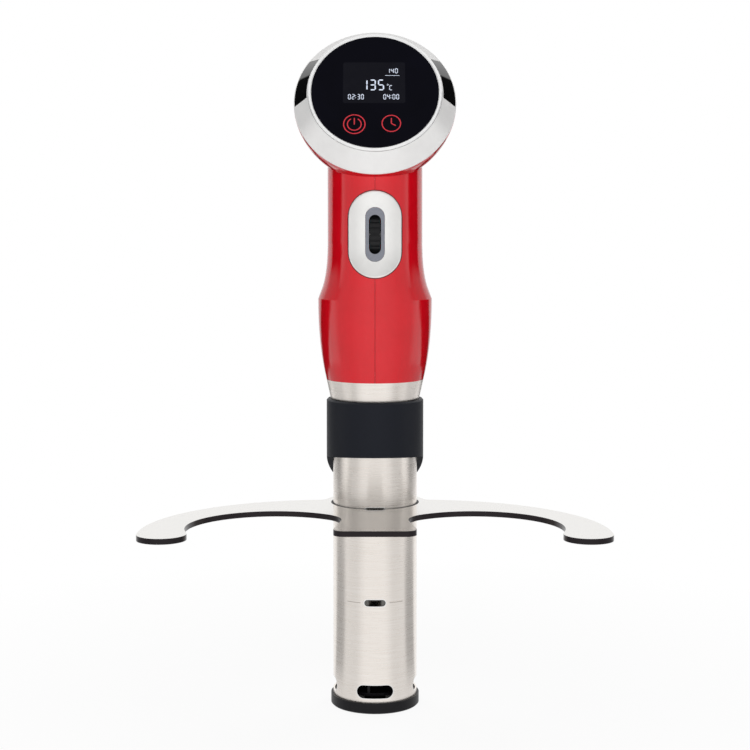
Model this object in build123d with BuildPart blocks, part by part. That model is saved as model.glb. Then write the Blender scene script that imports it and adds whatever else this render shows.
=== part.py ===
"""Immersion circulator with a tilted round face, a thumb wheel, a pot clip and a sliding bottle rack.

Millimetres, +Z up. The origin is the centre of the base's underside, on the axis of the steel sleeve.
The face looks towards -Y and up, and the pot clip is at +Y.
"""

import os
from math import acos, atan2, cos, degrees, hypot, pi, radians, sin, sqrt

from build123d import *

os.makedirs("parts", exist_ok=True)

# Fits
seat_gap = 0.1  # between faces that are held together
slip_gap = 0.1  # radial room of a piece seated in another
running_gap = 0.05  # radial room of a shaft, pin or ring that turns or slides
side_gap = 0.3  # between moving pieces that pass each other
seam_gap = 0.2  # between the two halves of the handle, and from the seam lip to the other half

# Steel sleeve and base cap
sleeve_r = 24.0
sleeve_wall = 0.9
sleeve_length = 188.3
cap_floor = 2.2
cap_height = 6.1
cap_wall = 1.2
cap_edge = 0.6
intake_count = 8
intake_length = 9.0
intake_width = 3.0
outlet_count = 4
outlet_width = 20.4
outlet_height = 7.5
outlet_z = 12.3
level_slot_width = 12.0
level_slot_height = 3.7
min_level_z = 63.0
max_level_drop = 75.3

# Pump shaft, bushes and impeller
shaft_r = 2.5
bush_wall = 1.9
bush_length = 4.6
boss_wall = 1.6
shaft_end_room = 0.4
impeller_z = 8.2
impeller_room = 5.5
impeller_hub_r = 5.0
impeller_disc = 1.6
impeller_height = 8.6
impeller_blades = 6
blade_thickness = 1.4
blade_lean = 25.0

# Bulkhead and what hangs from it
bulkhead_drop = 56.5
bulkhead_height = 13.0
seal_wall = 3.4
seal_height = 3.8
heater_r = 2.8
heater_room = 3.0
heater_bottom_z = 26.0
heater_leg_angle = 40.0
rod_circle_r = 17.0
probe_r = 2.0
probe_tip_z = 24.0
electrode_r = 1.0
electrode_angle = 10.0
terminal_rise = 6.0

# Motor, coupling and fan
bracket_plate = 2.0
bracket_height = 14.0
bracket_r = 20.0
bracket_post_width = 8.0
bracket_post_depth = 3.0
bracket_posts = 3
motor_r = 17.5
motor_length = 32.0
motor_boss_r = 6.5
motor_neck_r = 9.0
motor_neck_height = 3.0
motor_shaft_r = 2.0
coupling_r = 7.0
coupling_length = 8.6
coupling_lift = 1.2
fan_lift = 2.0
fan_height = 8.0
fan_hub_r = 6.0
fan_r = 16.0
fan_blades = 5
fan_blade_thickness = 1.2
fan_blade_pitch = 35.0

# Shoulder ring and handle
shoulder_height = 10.8
shoulder_foot_wall = 1.3
shoulder_flare = 3.8
sleeve_grip = 3.0
spigot_height = 5.0
shell_wall = 2.5
seam_lip_width = 1.6
seam_lip_thickness = 1.0
seam_lip_root = 0.8
seam_lip_room = 1.2
upper_lip_height = 7.0
bulge_side = 4.7
bulge_front = 1.2
bulge_height = 46.0
step_height = 7.0
neck_draw = 0.8
step_side = 2.9
step_front = 1.2
neck_start = 77.5
neck_top = 134.5

# Swell of the grip and taper of the neck, as shares of height, of width and of depth
grip_shape = ((0.0, 0.0, 0.0), (0.3, 0.56, 0.6), (0.7, 0.93, 0.96), (1.0, 1.0, 0.9))
neck_shape = ((0.0, 1.0, 1.0), (0.3, 0.42, 0.6), (0.7, 0.08, 0.16), (1.0, 0.0, 0.0))

# Head: distances along the face axis run outward from the front of the glass
face_tilt = 26.4
face_y = -20.0
face_rise = 162.2
glass_r = 35.5
glass_thickness = 2.0
trim_width = 1.9
trim_proud = 0.6
trim_edge = 0.5
bezel_drop = 0.9
bezel_flare = 8.1
bezel_depth = 11.1
bezel_lip = 0.6
bezel_flange = 2.2
bezel_window_r = 26.8
rim_straight = 2.0
bowl_depth = 41.0
head_hollow = 36.0
head_floor_r = 16.0
insert_low_angle = -4.5
insert_high_angle = 35.0
insert_thickness = 1.2
insert_border = 0.8
board_thickness = 1.6
face_board_width = 38.0
face_board_height = 43.0
face_board_down = 1.2
display_width = 36.0
display_height = 27.0
display_up = 5.5
touch_pad_r = 4.0
touch_pad_spread = 11.5
touch_pad_down = 18.0
vent_rows = 3
vent_pitch = 6.0
vent_width = 2.2
vent_length = 11.0
vent_inner_x = 5.0
vent_rise = 134.5

# Thumb wheel
wheel_rise = 82.9
wheel_bezel_width = 29.6
wheel_bezel_height = 48.5
wheel_bezel_proud = 1.6
wheel_bezel_lap = 2.3
wheel_bezel_edge = 0.8
wheel_skirt_wall = 1.4
wheel_skirt_depth = 1.0
surround_width = 10.6
surround_height = 30.1
surround_proud = 0.9
surround_sunk = 0.8
aperture_width = 6.7
aperture_height = 21.8
wheel_r = 13.2
wheel_width = 5.6
wheel_proud = 1.2
wheel_ribs = 26
rib_depth = 0.7
rib_gap = 1.5
axle_r = 1.5
carrier_room = 0.8
carrier_wall = 1.4
carrier_half_height = 6.0
encoder_width = 5.4
encoder_depth = 11.0
encoder_height = 11.0

# Power board
power_board_y = 5.0
power_board_width = 40.0
power_board_height = 46.0
power_board_rise = 22.0
relay_width = 18.0
relay_height = 12.0
relay_depth = 13.0
relay_rise = 9.0
component_spread = 8.0
choke_r = 6.0
choke_depth = 9.0
choke_rise = 26.0
capacitor_r = 5.0
capacitor_depth = 14.0
board_rib_x = 15.0
board_rib_width = 4.0
board_rib_root = 0.5
heatsink_width = 20.0
heatsink_height = 28.0
heatsink_depth = 11.0
heatsink_base = 3.0
heatsink_fins = 5
heatsink_fin = 1.6

# Cord gland
gland_rise = 111.5
gland_r = 5.4
gland_flange_r = 7.2
gland_flange = 2.0
gland_inner_flange = 2.0
gland_bore_r = 3.3

# Clamp collar, pot clip and torsion spring
collar_gap = 0.3
collar_height = 30.7
collar_wall = 3.6
collar_edge = 0.8
collar_side_drop = 2.9
shield_drop = 24.2
shield_slope = 0.88
jaw_proud = 2.8
jaw_half_width = 12.0
jaw_lift = 1.5
jaw_height = 18.0
pad_thickness = 1.6
pad_edge = 1.0
pad_rest_gap = 0.3
pivot_reach = 13.3
pivot_drop = 16.4
pin_r = 2.0
ear_r = 4.5
ear_thickness = 3.5
ear_height = 20.0
ear_root = 1.0
lever_thickness = 3.0
lever_half_width = 11.0
lever_bend_r = 5.0
lever_lean = 20.6
lever_rise = 36.0
lever_waist_drop = 10.0
lever_jaw_height = 13.0
lever_corner_r = 4.0
wire_r = 0.7
wire_sides = 8
spring_r = 4.0
spring_pitch = 1.95
spring_turns = 3
spring_leg_angle = 210.0
spring_leg = 17.6
spring_point_step = 6.0
spring_leg_steps = 20

# Bottle rack: an anchor-shaped plate with a tongue and two hooked arms
rack_drop = 8.1
rack_thickness = 3.0
grommet_wall = 1.15
rack_ring_wall = 4.4
rack_ring_blend_r = 5.0
arm_width = 52.0
arm_shift = 29.0
arm_outer_y = -91.4
bay_r = 46.0
bay_side = 8.5
bay_y = -76.0
hook_tip_r = 13.0
neck_half_width = 18.1
neck_y = -56.0
tongue_half_width = 22.0
tongue_front_y = -87.6
tongue_corner_r = 6.0

# Places worked out from the sizes above
sleeve_inner_r = sleeve_r - sleeve_wall
sleeve_top_z = cap_floor + sleeve_length
handle_z = sleeve_top_z - sleeve_grip
handle_foot_r = sleeve_r + shoulder_flare
neck_r = handle_foot_r - neck_draw
step_half_width = neck_r + step_side
step_half_depth = neck_r + step_front
shoulder_z = handle_z - shoulder_height
collar_top_z = shoulder_z - collar_gap
collar_bottom_z = collar_top_z - collar_height
collar_inner_r = sleeve_r + slip_gap
collar_r = collar_inner_r + collar_wall
shield_bottom_z = collar_bottom_z - shield_drop
jaw_bottom_z = shield_bottom_z + jaw_lift
jaw_back_y = collar_r + jaw_proud
pivot_z = collar_top_z - pivot_drop
rack_z = shield_bottom_z - rack_drop
max_level_z = sleeve_top_z - max_level_drop
bulkhead_z = sleeve_top_z - bulkhead_drop
bush_r = shaft_r + running_gap + bush_wall
bulkhead_top_z = bulkhead_z + bulkhead_height
motor_z = bulkhead_top_z + bracket_height
motor_top_z = motor_z + motor_length + motor_neck_height
heater_circle_r = sleeve_inner_r - heater_room - heater_r
shaft_meet_z = bulkhead_top_z + coupling_lift + coupling_length / 2
wheel_z = handle_z + wheel_rise
wheel_y = -(neck_r + wheel_bezel_proud + wheel_proud - wheel_r)
trim_r = glass_r + slip_gap + trim_width
bezel_front_r = trim_r + slip_gap
rim_r = bezel_front_r + bezel_flare
flange_top = -glass_thickness - 2 * seat_gap
flange_bottom = flange_top - bezel_flange
board_top = flange_bottom - seat_gap
bezel_back = -(bezel_drop + bezel_depth)
rim_level = bezel_back - seat_gap
pivot_y = collar_r + pivot_reach
pad_front_y = jaw_back_y + seat_gap + pad_thickness
lever_pad_y = pad_front_y + pad_rest_gap
lever_jaw_y = lever_pad_y + pad_thickness + seat_gap
grommet_r = sleeve_r + running_gap + grommet_wall
rack_hole_r = grommet_r + running_gap
rack_ring_r = rack_hole_r + rack_ring_wall
bay_x = bay_r + bay_side
arm_outer_r = bay_r + arm_width
arm_outer_x = bay_x - arm_shift

face_centre = Vector(0, face_y, handle_z + face_rise)
face_normal = Vector(0, -cos(radians(face_tilt)), sin(radians(face_tilt)))
face_up = Vector(0, sin(radians(face_tilt)), cos(radians(face_tilt)))
face_plane = Plane(origin=face_centre, x_dir=(1, 0, 0), z_dir=face_normal)
face_axis = Axis(face_centre, face_normal)
wheel_plane = Plane(origin=(0, 0, wheel_z), x_dir=(1, 0, 0), z_dir=(0, -1, 0))

# Sections of the handle: height above its foot, half-width, half-depth
grip_sections = [
    (rise * bulge_height, handle_foot_r + side * bulge_side, handle_foot_r + front * bulge_front)
    for rise, side, front in grip_shape
]
step_top = bulge_height + step_height
step_sections = [grip_sections[-1], (step_top, step_half_width, step_half_depth)]
neck_run = neck_start - step_top
neck_sections = [
    (
        step_top + rise * neck_run,
        neck_r + side * (step_half_width - neck_r),
        neck_r + front * (step_half_depth - neck_r),
    )
    for rise, side, front in neck_shape
]


def outward_plane(angle, height):
    """Upright plane through the sleeve's axis that faces outward at an angle round it."""
    out = Vector(cos(radians(angle)), sin(radians(angle)), 0)
    along = Vector(-sin(radians(angle)), cos(radians(angle)), 0)
    return Plane(origin=(0, 0, height), x_dir=along, z_dir=out)


def face_radial_plane(angle):
    """Plane through the face axis: x runs outward at the angle, y runs out along the axis."""
    out = Vector(1, 0, 0) * cos(radians(angle)) + face_up * sin(radians(angle))
    return Plane(origin=face_centre, x_dir=out, z_dir=out.cross(face_normal))


def head_bowl(inset):
    """Back of the head: part of a ball with a short straight rim, drawn in by the inset."""
    mouth_r = rim_r - inset
    depth = bowl_depth - inset
    ball_r = (mouth_r**2 + depth**2) / (2 * depth)
    ball_rise = ball_r - depth
    mouth = rim_level - rim_straight
    with BuildPart() as bowl:
        with BuildSketch(face_radial_plane(0)):
            with BuildLine():
                arc = CenterArc((0, mouth + ball_rise), ball_r, 270, 90 - degrees(atan2(ball_rise, mouth_r)))
                Polyline(arc @ 1, (mouth_r, rim_level), (0, rim_level), arc @ 0)
            make_face()
        revolve(axis=face_axis)
    return bowl.part


def handle_form(inset):
    """Solid form of handle and head, drawn in all round by the inset, or grown if it is negative."""
    with BuildPart() as form:
        for sections in (grip_sections, step_sections, neck_sections):
            for height, half_width, half_depth in sections:
                with BuildSketch(Plane.XY.offset(handle_z + height)):
                    Ellipse(half_width - inset, half_depth - inset)
            loft()
        with BuildSketch(Plane.XY.offset(handle_z + neck_start)):
            Circle(neck_r - inset)
        extrude(amount=neck_top - neck_start)
        add(head_bowl(inset))
        split(bisect_by=face_plane.offset(rim_level), keep=Keep.BOTTOM)
    return form.part


def handle_cavity():
    """Room inside the handle and head: a round bore below a tapered hollow behind the face."""
    with BuildPart() as cavity:
        with BuildSketch(Plane.XZ):
            with BuildLine():
                Polyline(
                    (0, handle_z),
                    (handle_foot_r - shell_wall, handle_z),
                    (step_half_depth - shell_wall, handle_z + step_top),
                    (neck_r - shell_wall, handle_z + neck_start),
                    (neck_r - shell_wall, handle_z + neck_top),
                    (0, handle_z + neck_top),
                    close=True,
                )
            make_face()
        revolve(axis=Axis.Z)
        with BuildSketch(face_radial_plane(0)):
            with BuildLine():
                Polyline(
                    (0, rim_level),
                    (rim_r - shell_wall, rim_level),
                    (rim_r - shell_wall, rim_level - rim_straight),
                    (head_floor_r, rim_level - head_hollow),
                    (0, rim_level - head_hollow),
                    close=True,
                )
            make_face()
        revolve(axis=face_axis)
        split(bisect_by=face_plane.offset(rim_level), keep=Keep.BOTTOM)
    return cavity.part


def wheel_slot_stock(width, height, outer_inset, inner_inset):
    """Obround piece of the handle's front wall, between two insets of the handle's form."""
    with BuildPart() as stock:
        with BuildSketch(wheel_plane):
            SlotOverall(height, width, rotation=90)
        extrude(amount=2 * neck_r)
        add(handle_form(outer_inset), mode=Mode.INTERSECT)
        add(handle_form(inner_inset), mode=Mode.SUBTRACT)
    return stock.part


def rod(places, radius, bottom, top, name):
    """Group of upright round rods."""
    with BuildPart() as rods:
        with BuildSketch(Plane.XY.offset(bottom)):
            with Locations(*places):
                Circle(radius)
        extrude(amount=top - bottom)
    rods.part.label = name
    export_step(rods.part, f"parts/{name}.step")


def round_circle(radius, angle):
    """Point at an angle on a circle round the sleeve's axis."""
    return (radius * cos(radians(angle)), radius * sin(radians(angle)))


# Steel sleeve with its water outlets and level slots
with BuildPart() as steel_sleeve:
    with BuildSketch(Plane.XY.offset(cap_floor)):
        Circle(sleeve_r)
        Circle(sleeve_inner_r, mode=Mode.SUBTRACT)
    extrude(amount=sleeve_length)
    for outlet in range(outlet_count):
        with BuildSketch(outward_plane(-90 + outlet * 360 / outlet_count, outlet_z)):
            SlotOverall(outlet_width, outlet_height)
        extrude(amount=2 * sleeve_r, mode=Mode.SUBTRACT)
    for level_z in (min_level_z, max_level_z):
        with BuildSketch(outward_plane(-90, level_z)):
            SlotOverall(level_slot_width, level_slot_height)
        extrude(amount=2 * sleeve_r, mode=Mode.SUBTRACT)
steel_sleeve.part.label = "steel_sleeve"
export_step(steel_sleeve.part, "parts/steel_sleeve.step")

# Base cap: floor with intake slots, rim round the sleeve, boss for the bush
cap_r = sleeve_r + slip_gap + cap_wall
cap_boss_r = bush_r + slip_gap + boss_wall
intake_circle_r = (cap_boss_r + sleeve_inner_r) / 2
with BuildPart() as base_cap:
    with BuildSketch():
        Circle(cap_r)
    extrude(amount=cap_height)
    chamfer(base_cap.faces().sort_by(Axis.Z)[0].edges(), cap_edge)
    with BuildSketch(Plane.XY.offset(cap_floor)):
        Circle(sleeve_r + slip_gap)
    extrude(amount=cap_height, mode=Mode.SUBTRACT)
    with BuildSketch(Plane.XY.offset(cap_floor)):
        Circle(cap_boss_r)
        Circle(bush_r + slip_gap, mode=Mode.SUBTRACT)
    extrude(amount=bush_length)
    with BuildSketch():
        with PolarLocations(intake_circle_r, intake_count, start_angle=180 / intake_count):
            Rectangle(intake_length, intake_width)
    extrude(amount=cap_floor, mode=Mode.SUBTRACT)
base_cap.part.label = "base_cap"
export_step(base_cap.part, "parts/base_cap.step")

# Bushes that carry the drive shaft at its foot and in the bulkhead
for bush_name, bush_z in (("lower_bush", cap_floor), ("upper_bush", bulkhead_z)):
    with BuildPart() as bush:
        with BuildSketch(Plane.XY.offset(bush_z)):
            Circle(bush_r)
            Circle(shaft_r + running_gap, mode=Mode.SUBTRACT)
        extrude(amount=bush_length)
    bush.part.label = bush_name
    export_step(bush.part, f"parts/{bush_name}.step")

# Drive shaft, from the lower bush to the middle of the coupling
shaft_foot_z = cap_floor + shaft_end_room
with BuildPart() as drive_shaft:
    with BuildSketch(Plane.XY.offset(shaft_foot_z)):
        Circle(shaft_r)
    extrude(amount=shaft_meet_z - shaft_end_room / 2 - shaft_foot_z)
drive_shaft.part.label = "drive_shaft"
export_step(drive_shaft.part, "parts/drive_shaft.step")

# Impeller: disc, hub and leaning blades trimmed to a round outline
impeller_r = sleeve_inner_r - impeller_room
with BuildPart() as impeller:
    with BuildSketch(Plane.XY.offset(impeller_z + impeller_disc)):
        with PolarLocations(impeller_hub_r, impeller_blades):
            with Locations(Location((0, 0), blade_lean)):
                Rectangle(impeller_r, blade_thickness, align=(Align.MIN, Align.CENTER))
    extrude(amount=impeller_height - impeller_disc)
    with BuildSketch(Plane.XY.offset(impeller_z)):
        Circle(impeller_r)
    extrude(amount=impeller_height, mode=Mode.INTERSECT)
    with BuildSketch(Plane.XY.offset(impeller_z)):
        Circle(impeller_r)
    extrude(amount=impeller_disc)
    with BuildSketch(Plane.XY.offset(impeller_z)):
        Circle(impeller_hub_r)
    extrude(amount=impeller_height)
    with BuildSketch(Plane.XY.offset(impeller_z)):
        Circle(shaft_r)
    extrude(amount=impeller_height, mode=Mode.SUBTRACT)
impeller.part.label = "impeller"
export_step(impeller.part, "parts/impeller.step")

# Bulkhead that seals the wet end, with its shaft seal and rods
heater_ends = [round_circle(heater_circle_r, -90 + side * heater_leg_angle / 2) for side in (-1, 1)]
probe_place = round_circle(rod_circle_r, 0)
electrode_places = [round_circle(rod_circle_r, 180 + side * electrode_angle) for side in (-1, 1)]
bulkhead_r = sleeve_inner_r - slip_gap
seal_r = shaft_r + running_gap + seal_wall
with BuildPart() as bulkhead:
    with BuildSketch(Plane.XY.offset(bulkhead_z)):
        Circle(bulkhead_r)
        Circle(shaft_r + slip_gap, mode=Mode.SUBTRACT)
        with Locations(*heater_ends):
            Circle(heater_r + slip_gap, mode=Mode.SUBTRACT)
        with Locations(probe_place):
            Circle(probe_r + slip_gap, mode=Mode.SUBTRACT)
        with Locations(*electrode_places):
            Circle(electrode_r + slip_gap, mode=Mode.SUBTRACT)
    extrude(amount=bulkhead_height)
    with BuildSketch(Plane.XY.offset(bulkhead_z)):
        Circle(bush_r + slip_gap)
    extrude(amount=bush_length + seat_gap, mode=Mode.SUBTRACT)
    with BuildSketch(Plane.XY.offset(bulkhead_top_z)):
        Circle(seal_r + slip_gap)
    extrude(amount=-seal_height - seat_gap, mode=Mode.SUBTRACT)
bulkhead.part.label = "bulkhead"
export_step(bulkhead.part, "parts/bulkhead.step")

with BuildPart() as shaft_seal:
    with BuildSketch(Plane.XY.offset(bulkhead_top_z - seal_height)):
        Circle(seal_r)
        Circle(shaft_r + running_gap, mode=Mode.SUBTRACT)
    extrude(amount=seal_height)
shaft_seal.part.label = "shaft_seal"
export_step(shaft_seal.part, "parts/shaft_seal.step")

# Heating element: one tube bent into a U, its ends through the bulkhead
(first_x, first_y), (second_x, second_y) = heater_ends
bend_r = heater_circle_r * sin(radians(heater_leg_angle / 2))
bend_z = heater_bottom_z + heater_r + bend_r
terminal_z = bulkhead_top_z + terminal_rise
bend_crown = ((first_x + second_x) / 2, (first_y + second_y) / 2, bend_z - bend_r)
with BuildPart() as heating_element:
    with BuildLine() as heater_path:
        Line((first_x, first_y, terminal_z), (first_x, first_y, bend_z))
        ThreePointArc((first_x, first_y, bend_z), bend_crown, (second_x, second_y, bend_z))
        Line((second_x, second_y, bend_z), (second_x, second_y, terminal_z))
    with BuildSketch(Plane(origin=(first_x, first_y, terminal_z), z_dir=(0, 0, -1))):
        Circle(heater_r)
    sweep(path=heater_path.wire())
heating_element.part.label = "heating_element"
export_step(heating_element.part, "parts/heating_element.step")

rod([probe_place], probe_r, probe_tip_z, terminal_z, "temperature_probe")
rod(electrode_places, electrode_r, min_level_z, terminal_z, "level_electrodes")

# Motor on its bracket above the bulkhead
with BuildPart() as motor_bracket:
    with BuildSketch(Plane.XY.offset(motor_z)):
        Circle(bracket_r)
        Circle(motor_boss_r + slip_gap, mode=Mode.SUBTRACT)
    extrude(amount=-bracket_plate)
    with BuildSketch(Plane.XY.offset(bulkhead_top_z)):
        with PolarLocations(rod_circle_r, bracket_posts, start_angle=90):
            Rectangle(bracket_post_depth, bracket_post_width)
    extrude(amount=bracket_height)
motor_bracket.part.label = "motor_bracket"
export_step(motor_bracket.part, "parts/motor_bracket.step")

with BuildPart() as motor_can:
    with BuildSketch(Plane.XY.offset(motor_z)):
        Circle(motor_r)
    extrude(amount=motor_length)
    chamfer(motor_can.faces().sort_by(Axis.Z)[-1].edges(), motor_neck_height / 2)
    with BuildSketch(Plane.XY.offset(motor_z + motor_length)):
        Circle(motor_neck_r)
    extrude(amount=motor_neck_height)
    with BuildSketch(Plane.XY.offset(motor_z)):
        Circle(motor_boss_r)
    extrude(amount=-bracket_plate)
    with BuildSketch(Plane.XY.offset(motor_z - bracket_plate)):
        Circle(motor_shaft_r + running_gap)
    extrude(amount=motor_top_z - motor_z + bracket_plate, mode=Mode.SUBTRACT)
motor_can.part.label = "motor_can"
export_step(motor_can.part, "parts/motor_can.step")

fan_z = motor_top_z + fan_lift
with BuildPart() as motor_shaft:
    with BuildSketch(Plane.XY.offset(shaft_meet_z + shaft_end_room / 2)):
        Circle(motor_shaft_r)
    extrude(amount=fan_z + fan_height - shaft_meet_z)
motor_shaft.part.label = "motor_shaft"
export_step(motor_shaft.part, "parts/motor_shaft.step")

coupling_z = bulkhead_top_z + coupling_lift
with BuildPart() as shaft_coupling:
    with BuildSketch(Plane.XY.offset(coupling_z)):
        Circle(coupling_r)
        Circle(motor_shaft_r, mode=Mode.SUBTRACT)
    extrude(amount=coupling_length)
    with BuildSketch(Plane.XY.offset(coupling_z)):
        Circle(shaft_r)
    extrude(amount=shaft_meet_z - coupling_z, mode=Mode.SUBTRACT)
shaft_coupling.part.label = "shaft_coupling"
export_step(shaft_coupling.part, "parts/shaft_coupling.step")

with BuildPart() as cooling_fan:
    for blade in range(fan_blades):
        angle = blade * 360 / fan_blades
        with BuildSketch(outward_plane(angle, fan_z + fan_height / 2)):
            Rectangle(fan_height, fan_blade_thickness, rotation=fan_blade_pitch)
        extrude(amount=2 * fan_r)
    with BuildSketch(Plane.XY.offset(fan_z)):
        Circle(fan_r)
    extrude(amount=fan_height, mode=Mode.INTERSECT)
    with BuildSketch(Plane.XY.offset(fan_z)):
        Circle(fan_hub_r)
    extrude(amount=fan_height)
    with BuildSketch(Plane.XY.offset(fan_z)):
        Circle(motor_shaft_r)
    extrude(amount=fan_height, mode=Mode.SUBTRACT)
cooling_fan.part.label = "cooling_fan"
export_step(cooling_fan.part, "parts/cooling_fan.step")

# Steel shoulder ring: a cone under the handle with a spigot inside it
with BuildPart() as shoulder_ring:
    with BuildSketch(Plane.XZ):
        with BuildLine():
            Polyline(
                (collar_inner_r, shoulder_z),
                (collar_inner_r + shoulder_foot_wall, shoulder_z),
                (handle_foot_r, handle_z),
                (handle_foot_r - shell_wall - slip_gap, handle_z),
                (handle_foot_r - shell_wall - slip_gap, handle_z + spigot_height),
                (collar_inner_r, handle_z + spigot_height),
                close=True,
            )
        make_face()
    revolve(axis=Axis.Z)
shoulder_ring.part.label = "shoulder_ring"
export_step(shoulder_ring.part, "parts/shoulder_ring.step")

# Handle and head housing: one hollow form with ribs for the power board, parted down the middle
wheel_opening_width = wheel_bezel_width - 2 * wheel_bezel_lap
wheel_opening_height = wheel_bezel_height - 2 * wheel_bezel_lap
gland_z = handle_z + gland_rise
gland_plane = Plane(origin=(0, 0, gland_z), x_dir=(-1, 0, 0), z_dir=(0, 1, 0))
power_board_z = handle_z + power_board_rise
power_board_plane = Plane(origin=(0, power_board_y, 0), x_dir=(1, 0, 0), z_dir=(0, -1, 0))
board_back_y = power_board_y + board_thickness
vent_plane = Plane(origin=(0, 0, handle_z + vent_rise), x_dir=(-1, 0, 0), z_dir=(0, 1, 0))
vent_places = [
    (side * (vent_inner_x + vent_length / 2), row * vent_pitch)
    for side in (-1, 1)
    for row in range(vent_rows)
]

board_rib_inner_x = board_rib_x - board_rib_width / 2
board_rib_end_y = sqrt((handle_foot_r - shell_wall) ** 2 - board_rib_inner_x**2) + board_rib_root
with BuildPart() as housing:
    add(handle_form(0))
    add(handle_cavity(), mode=Mode.SUBTRACT)
    with BuildSketch(Plane.XY.offset(power_board_z)):
        for side in (-1, 1):
            with Locations((side * board_rib_x, board_back_y + seat_gap)):
                Rectangle(board_rib_width, board_rib_end_y - board_back_y, align=(Align.CENTER, Align.MIN))
    extrude(amount=power_board_height)
    with BuildSketch(wheel_plane):
        SlotOverall(wheel_opening_height, wheel_opening_width, rotation=90)
    extrude(amount=2 * neck_r, mode=Mode.SUBTRACT)
    with BuildSketch(gland_plane):
        Circle(gland_r + slip_gap)
    extrude(amount=2 * neck_r, mode=Mode.SUBTRACT)
    with BuildSketch(vent_plane):
        with Locations(*vent_places):
            Rectangle(vent_length, vent_width)
    extrude(amount=2 * rim_r, mode=Mode.SUBTRACT)

with BuildPart() as handle_shell_left:
    add(housing.part)
    split(bisect_by=Plane.YZ.offset(-seam_gap / 2), keep=Keep.BOTTOM)
handle_shell_left.part.label = "handle_shell_left"
export_step(handle_shell_left.part, "parts/handle_shell_left.step")

# The right half has a lip behind the front seam, below and above the wheel, that keeps the halves in line
lower_lip_z = handle_z + spigot_height + seam_lip_room
lower_lip_top_z = wheel_z - wheel_opening_height / 2 - seam_lip_room
upper_lip_z = wheel_z + wheel_opening_height / 2 + seam_lip_room
seam_lips = (
    (handle_foot_r - shell_wall, lower_lip_z, lower_lip_top_z - lower_lip_z),
    (neck_r - shell_wall, upper_lip_z, upper_lip_height),
)
with BuildPart() as handle_shell_right:
    add(housing.part)
    split(bisect_by=Plane.YZ.offset(seam_gap / 2), keep=Keep.TOP)
    for wall_r, lip_z, lip_height in seam_lips:
        lip_back_y = seam_gap + seam_lip_thickness - wall_r
        with BuildSketch(Plane.XY.offset(lip_z)):
            with Locations((0, lip_back_y)):
                Rectangle(2 * seam_lip_width, seam_lip_thickness, align=(Align.CENTER, Align.MAX))
            with Locations((seam_gap, lip_back_y)):
                root_depth = seam_lip_thickness + seam_gap + seam_lip_root
                Rectangle(seam_lip_width, root_depth, align=(Align.MIN, Align.MAX))
        extrude(amount=lip_height)
handle_shell_right.part.label = "handle_shell_right"
export_step(handle_shell_right.part, "parts/handle_shell_right.step")

# Head bezel: a cone from the trim ring to the housing's rim, with a flange inside it under the glass
cone_length = hypot(bezel_flare, bezel_depth - bezel_lip)
cone_out = bezel_flare / cone_length
cone_back = (bezel_depth - bezel_lip) / cone_length
insert_root = (bezel_front_r + insert_border * cone_out, -bezel_drop - insert_border * cone_back)
insert_end = (rim_r - insert_border * cone_out, bezel_back + bezel_lip + insert_border * cone_back)


def cone_strip(thickness, low, high):
    """Strip of the bezel's cone between two angles round the face axis."""
    with BuildPart() as strip:
        with BuildSketch(face_radial_plane(low)):
            with BuildLine():
                Polyline(
                    insert_root,
                    insert_end,
                    (insert_end[0] - thickness * cone_back, insert_end[1] - thickness * cone_out),
                    (insert_root[0], insert_root[1] - thickness / cone_out),
                    close=True,
                )
            make_face()
        revolve(axis=face_axis, revolution_arc=high - low)
    return strip.part


insert_slip = degrees(slip_gap / rim_r)
insert_spans = {
    "bezel_insert_right": (insert_low_angle, insert_high_angle),
    "bezel_insert_left": (180 - insert_high_angle, 180 - insert_low_angle),
}
with BuildPart() as head_bezel:
    with BuildSketch(face_radial_plane(0)):
        with BuildLine():
            Polyline(
                (bezel_front_r, -bezel_drop),
                (rim_r, bezel_back + bezel_lip),
                (rim_r, bezel_back),
                (rim_r - shell_wall, bezel_back),
                (bezel_front_r, flange_bottom),
                (bezel_window_r, flange_bottom),
                (bezel_window_r, flange_top),
                (bezel_front_r, flange_top),
                close=True,
            )
        make_face()
    revolve(axis=face_axis)
    for low, high in insert_spans.values():
        insert_seat = cone_strip(insert_thickness + seat_gap, low - insert_slip, high + insert_slip)
        add(insert_seat, mode=Mode.SUBTRACT)
head_bezel.part.label = "head_bezel"
export_step(head_bezel.part, "parts/head_bezel.step")

for insert_name, (low, high) in insert_spans.items():
    with BuildPart() as bezel_insert:
        add(cone_strip(insert_thickness, low, high))
    bezel_insert.part.label = insert_name
    export_step(bezel_insert.part, f"parts/{insert_name}.step")

# Trim ring: bright lip round the glass, both on the bezel's flange
with BuildPart() as trim_ring:
    with BuildSketch(face_radial_plane(0)):
        with BuildLine():
            Polyline(
                (glass_r + slip_gap, trim_proud - trim_edge),
                (glass_r + slip_gap + trim_edge, trim_proud),
                (trim_r - trim_edge, trim_proud),
                (trim_r, trim_proud - trim_edge),
                (trim_r, flange_top + seat_gap),
                (glass_r + slip_gap, flange_top + seat_gap),
                close=True,
            )
        make_face()
    revolve(axis=face_axis)
trim_ring.part.label = "trim_ring"
export_step(trim_ring.part, "parts/trim_ring.step")

with BuildPart() as face_glass:
    with BuildSketch(face_plane):
        Circle(glass_r)
    extrude(amount=-glass_thickness)
face_glass.part.label = "face_glass"
export_step(face_glass.part, "parts/face_glass.step")

# Display board under the bezel's flange, with the display module and touch pads on it
with BuildPart() as display_board:
    with BuildSketch(face_plane.offset(board_top)):
        with Locations((0, -face_board_down)):
            Rectangle(face_board_width, face_board_height)
    extrude(amount=-board_thickness)
display_board.part.label = "display_board"
export_step(display_board.part, "parts/display_board.step")

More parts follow.
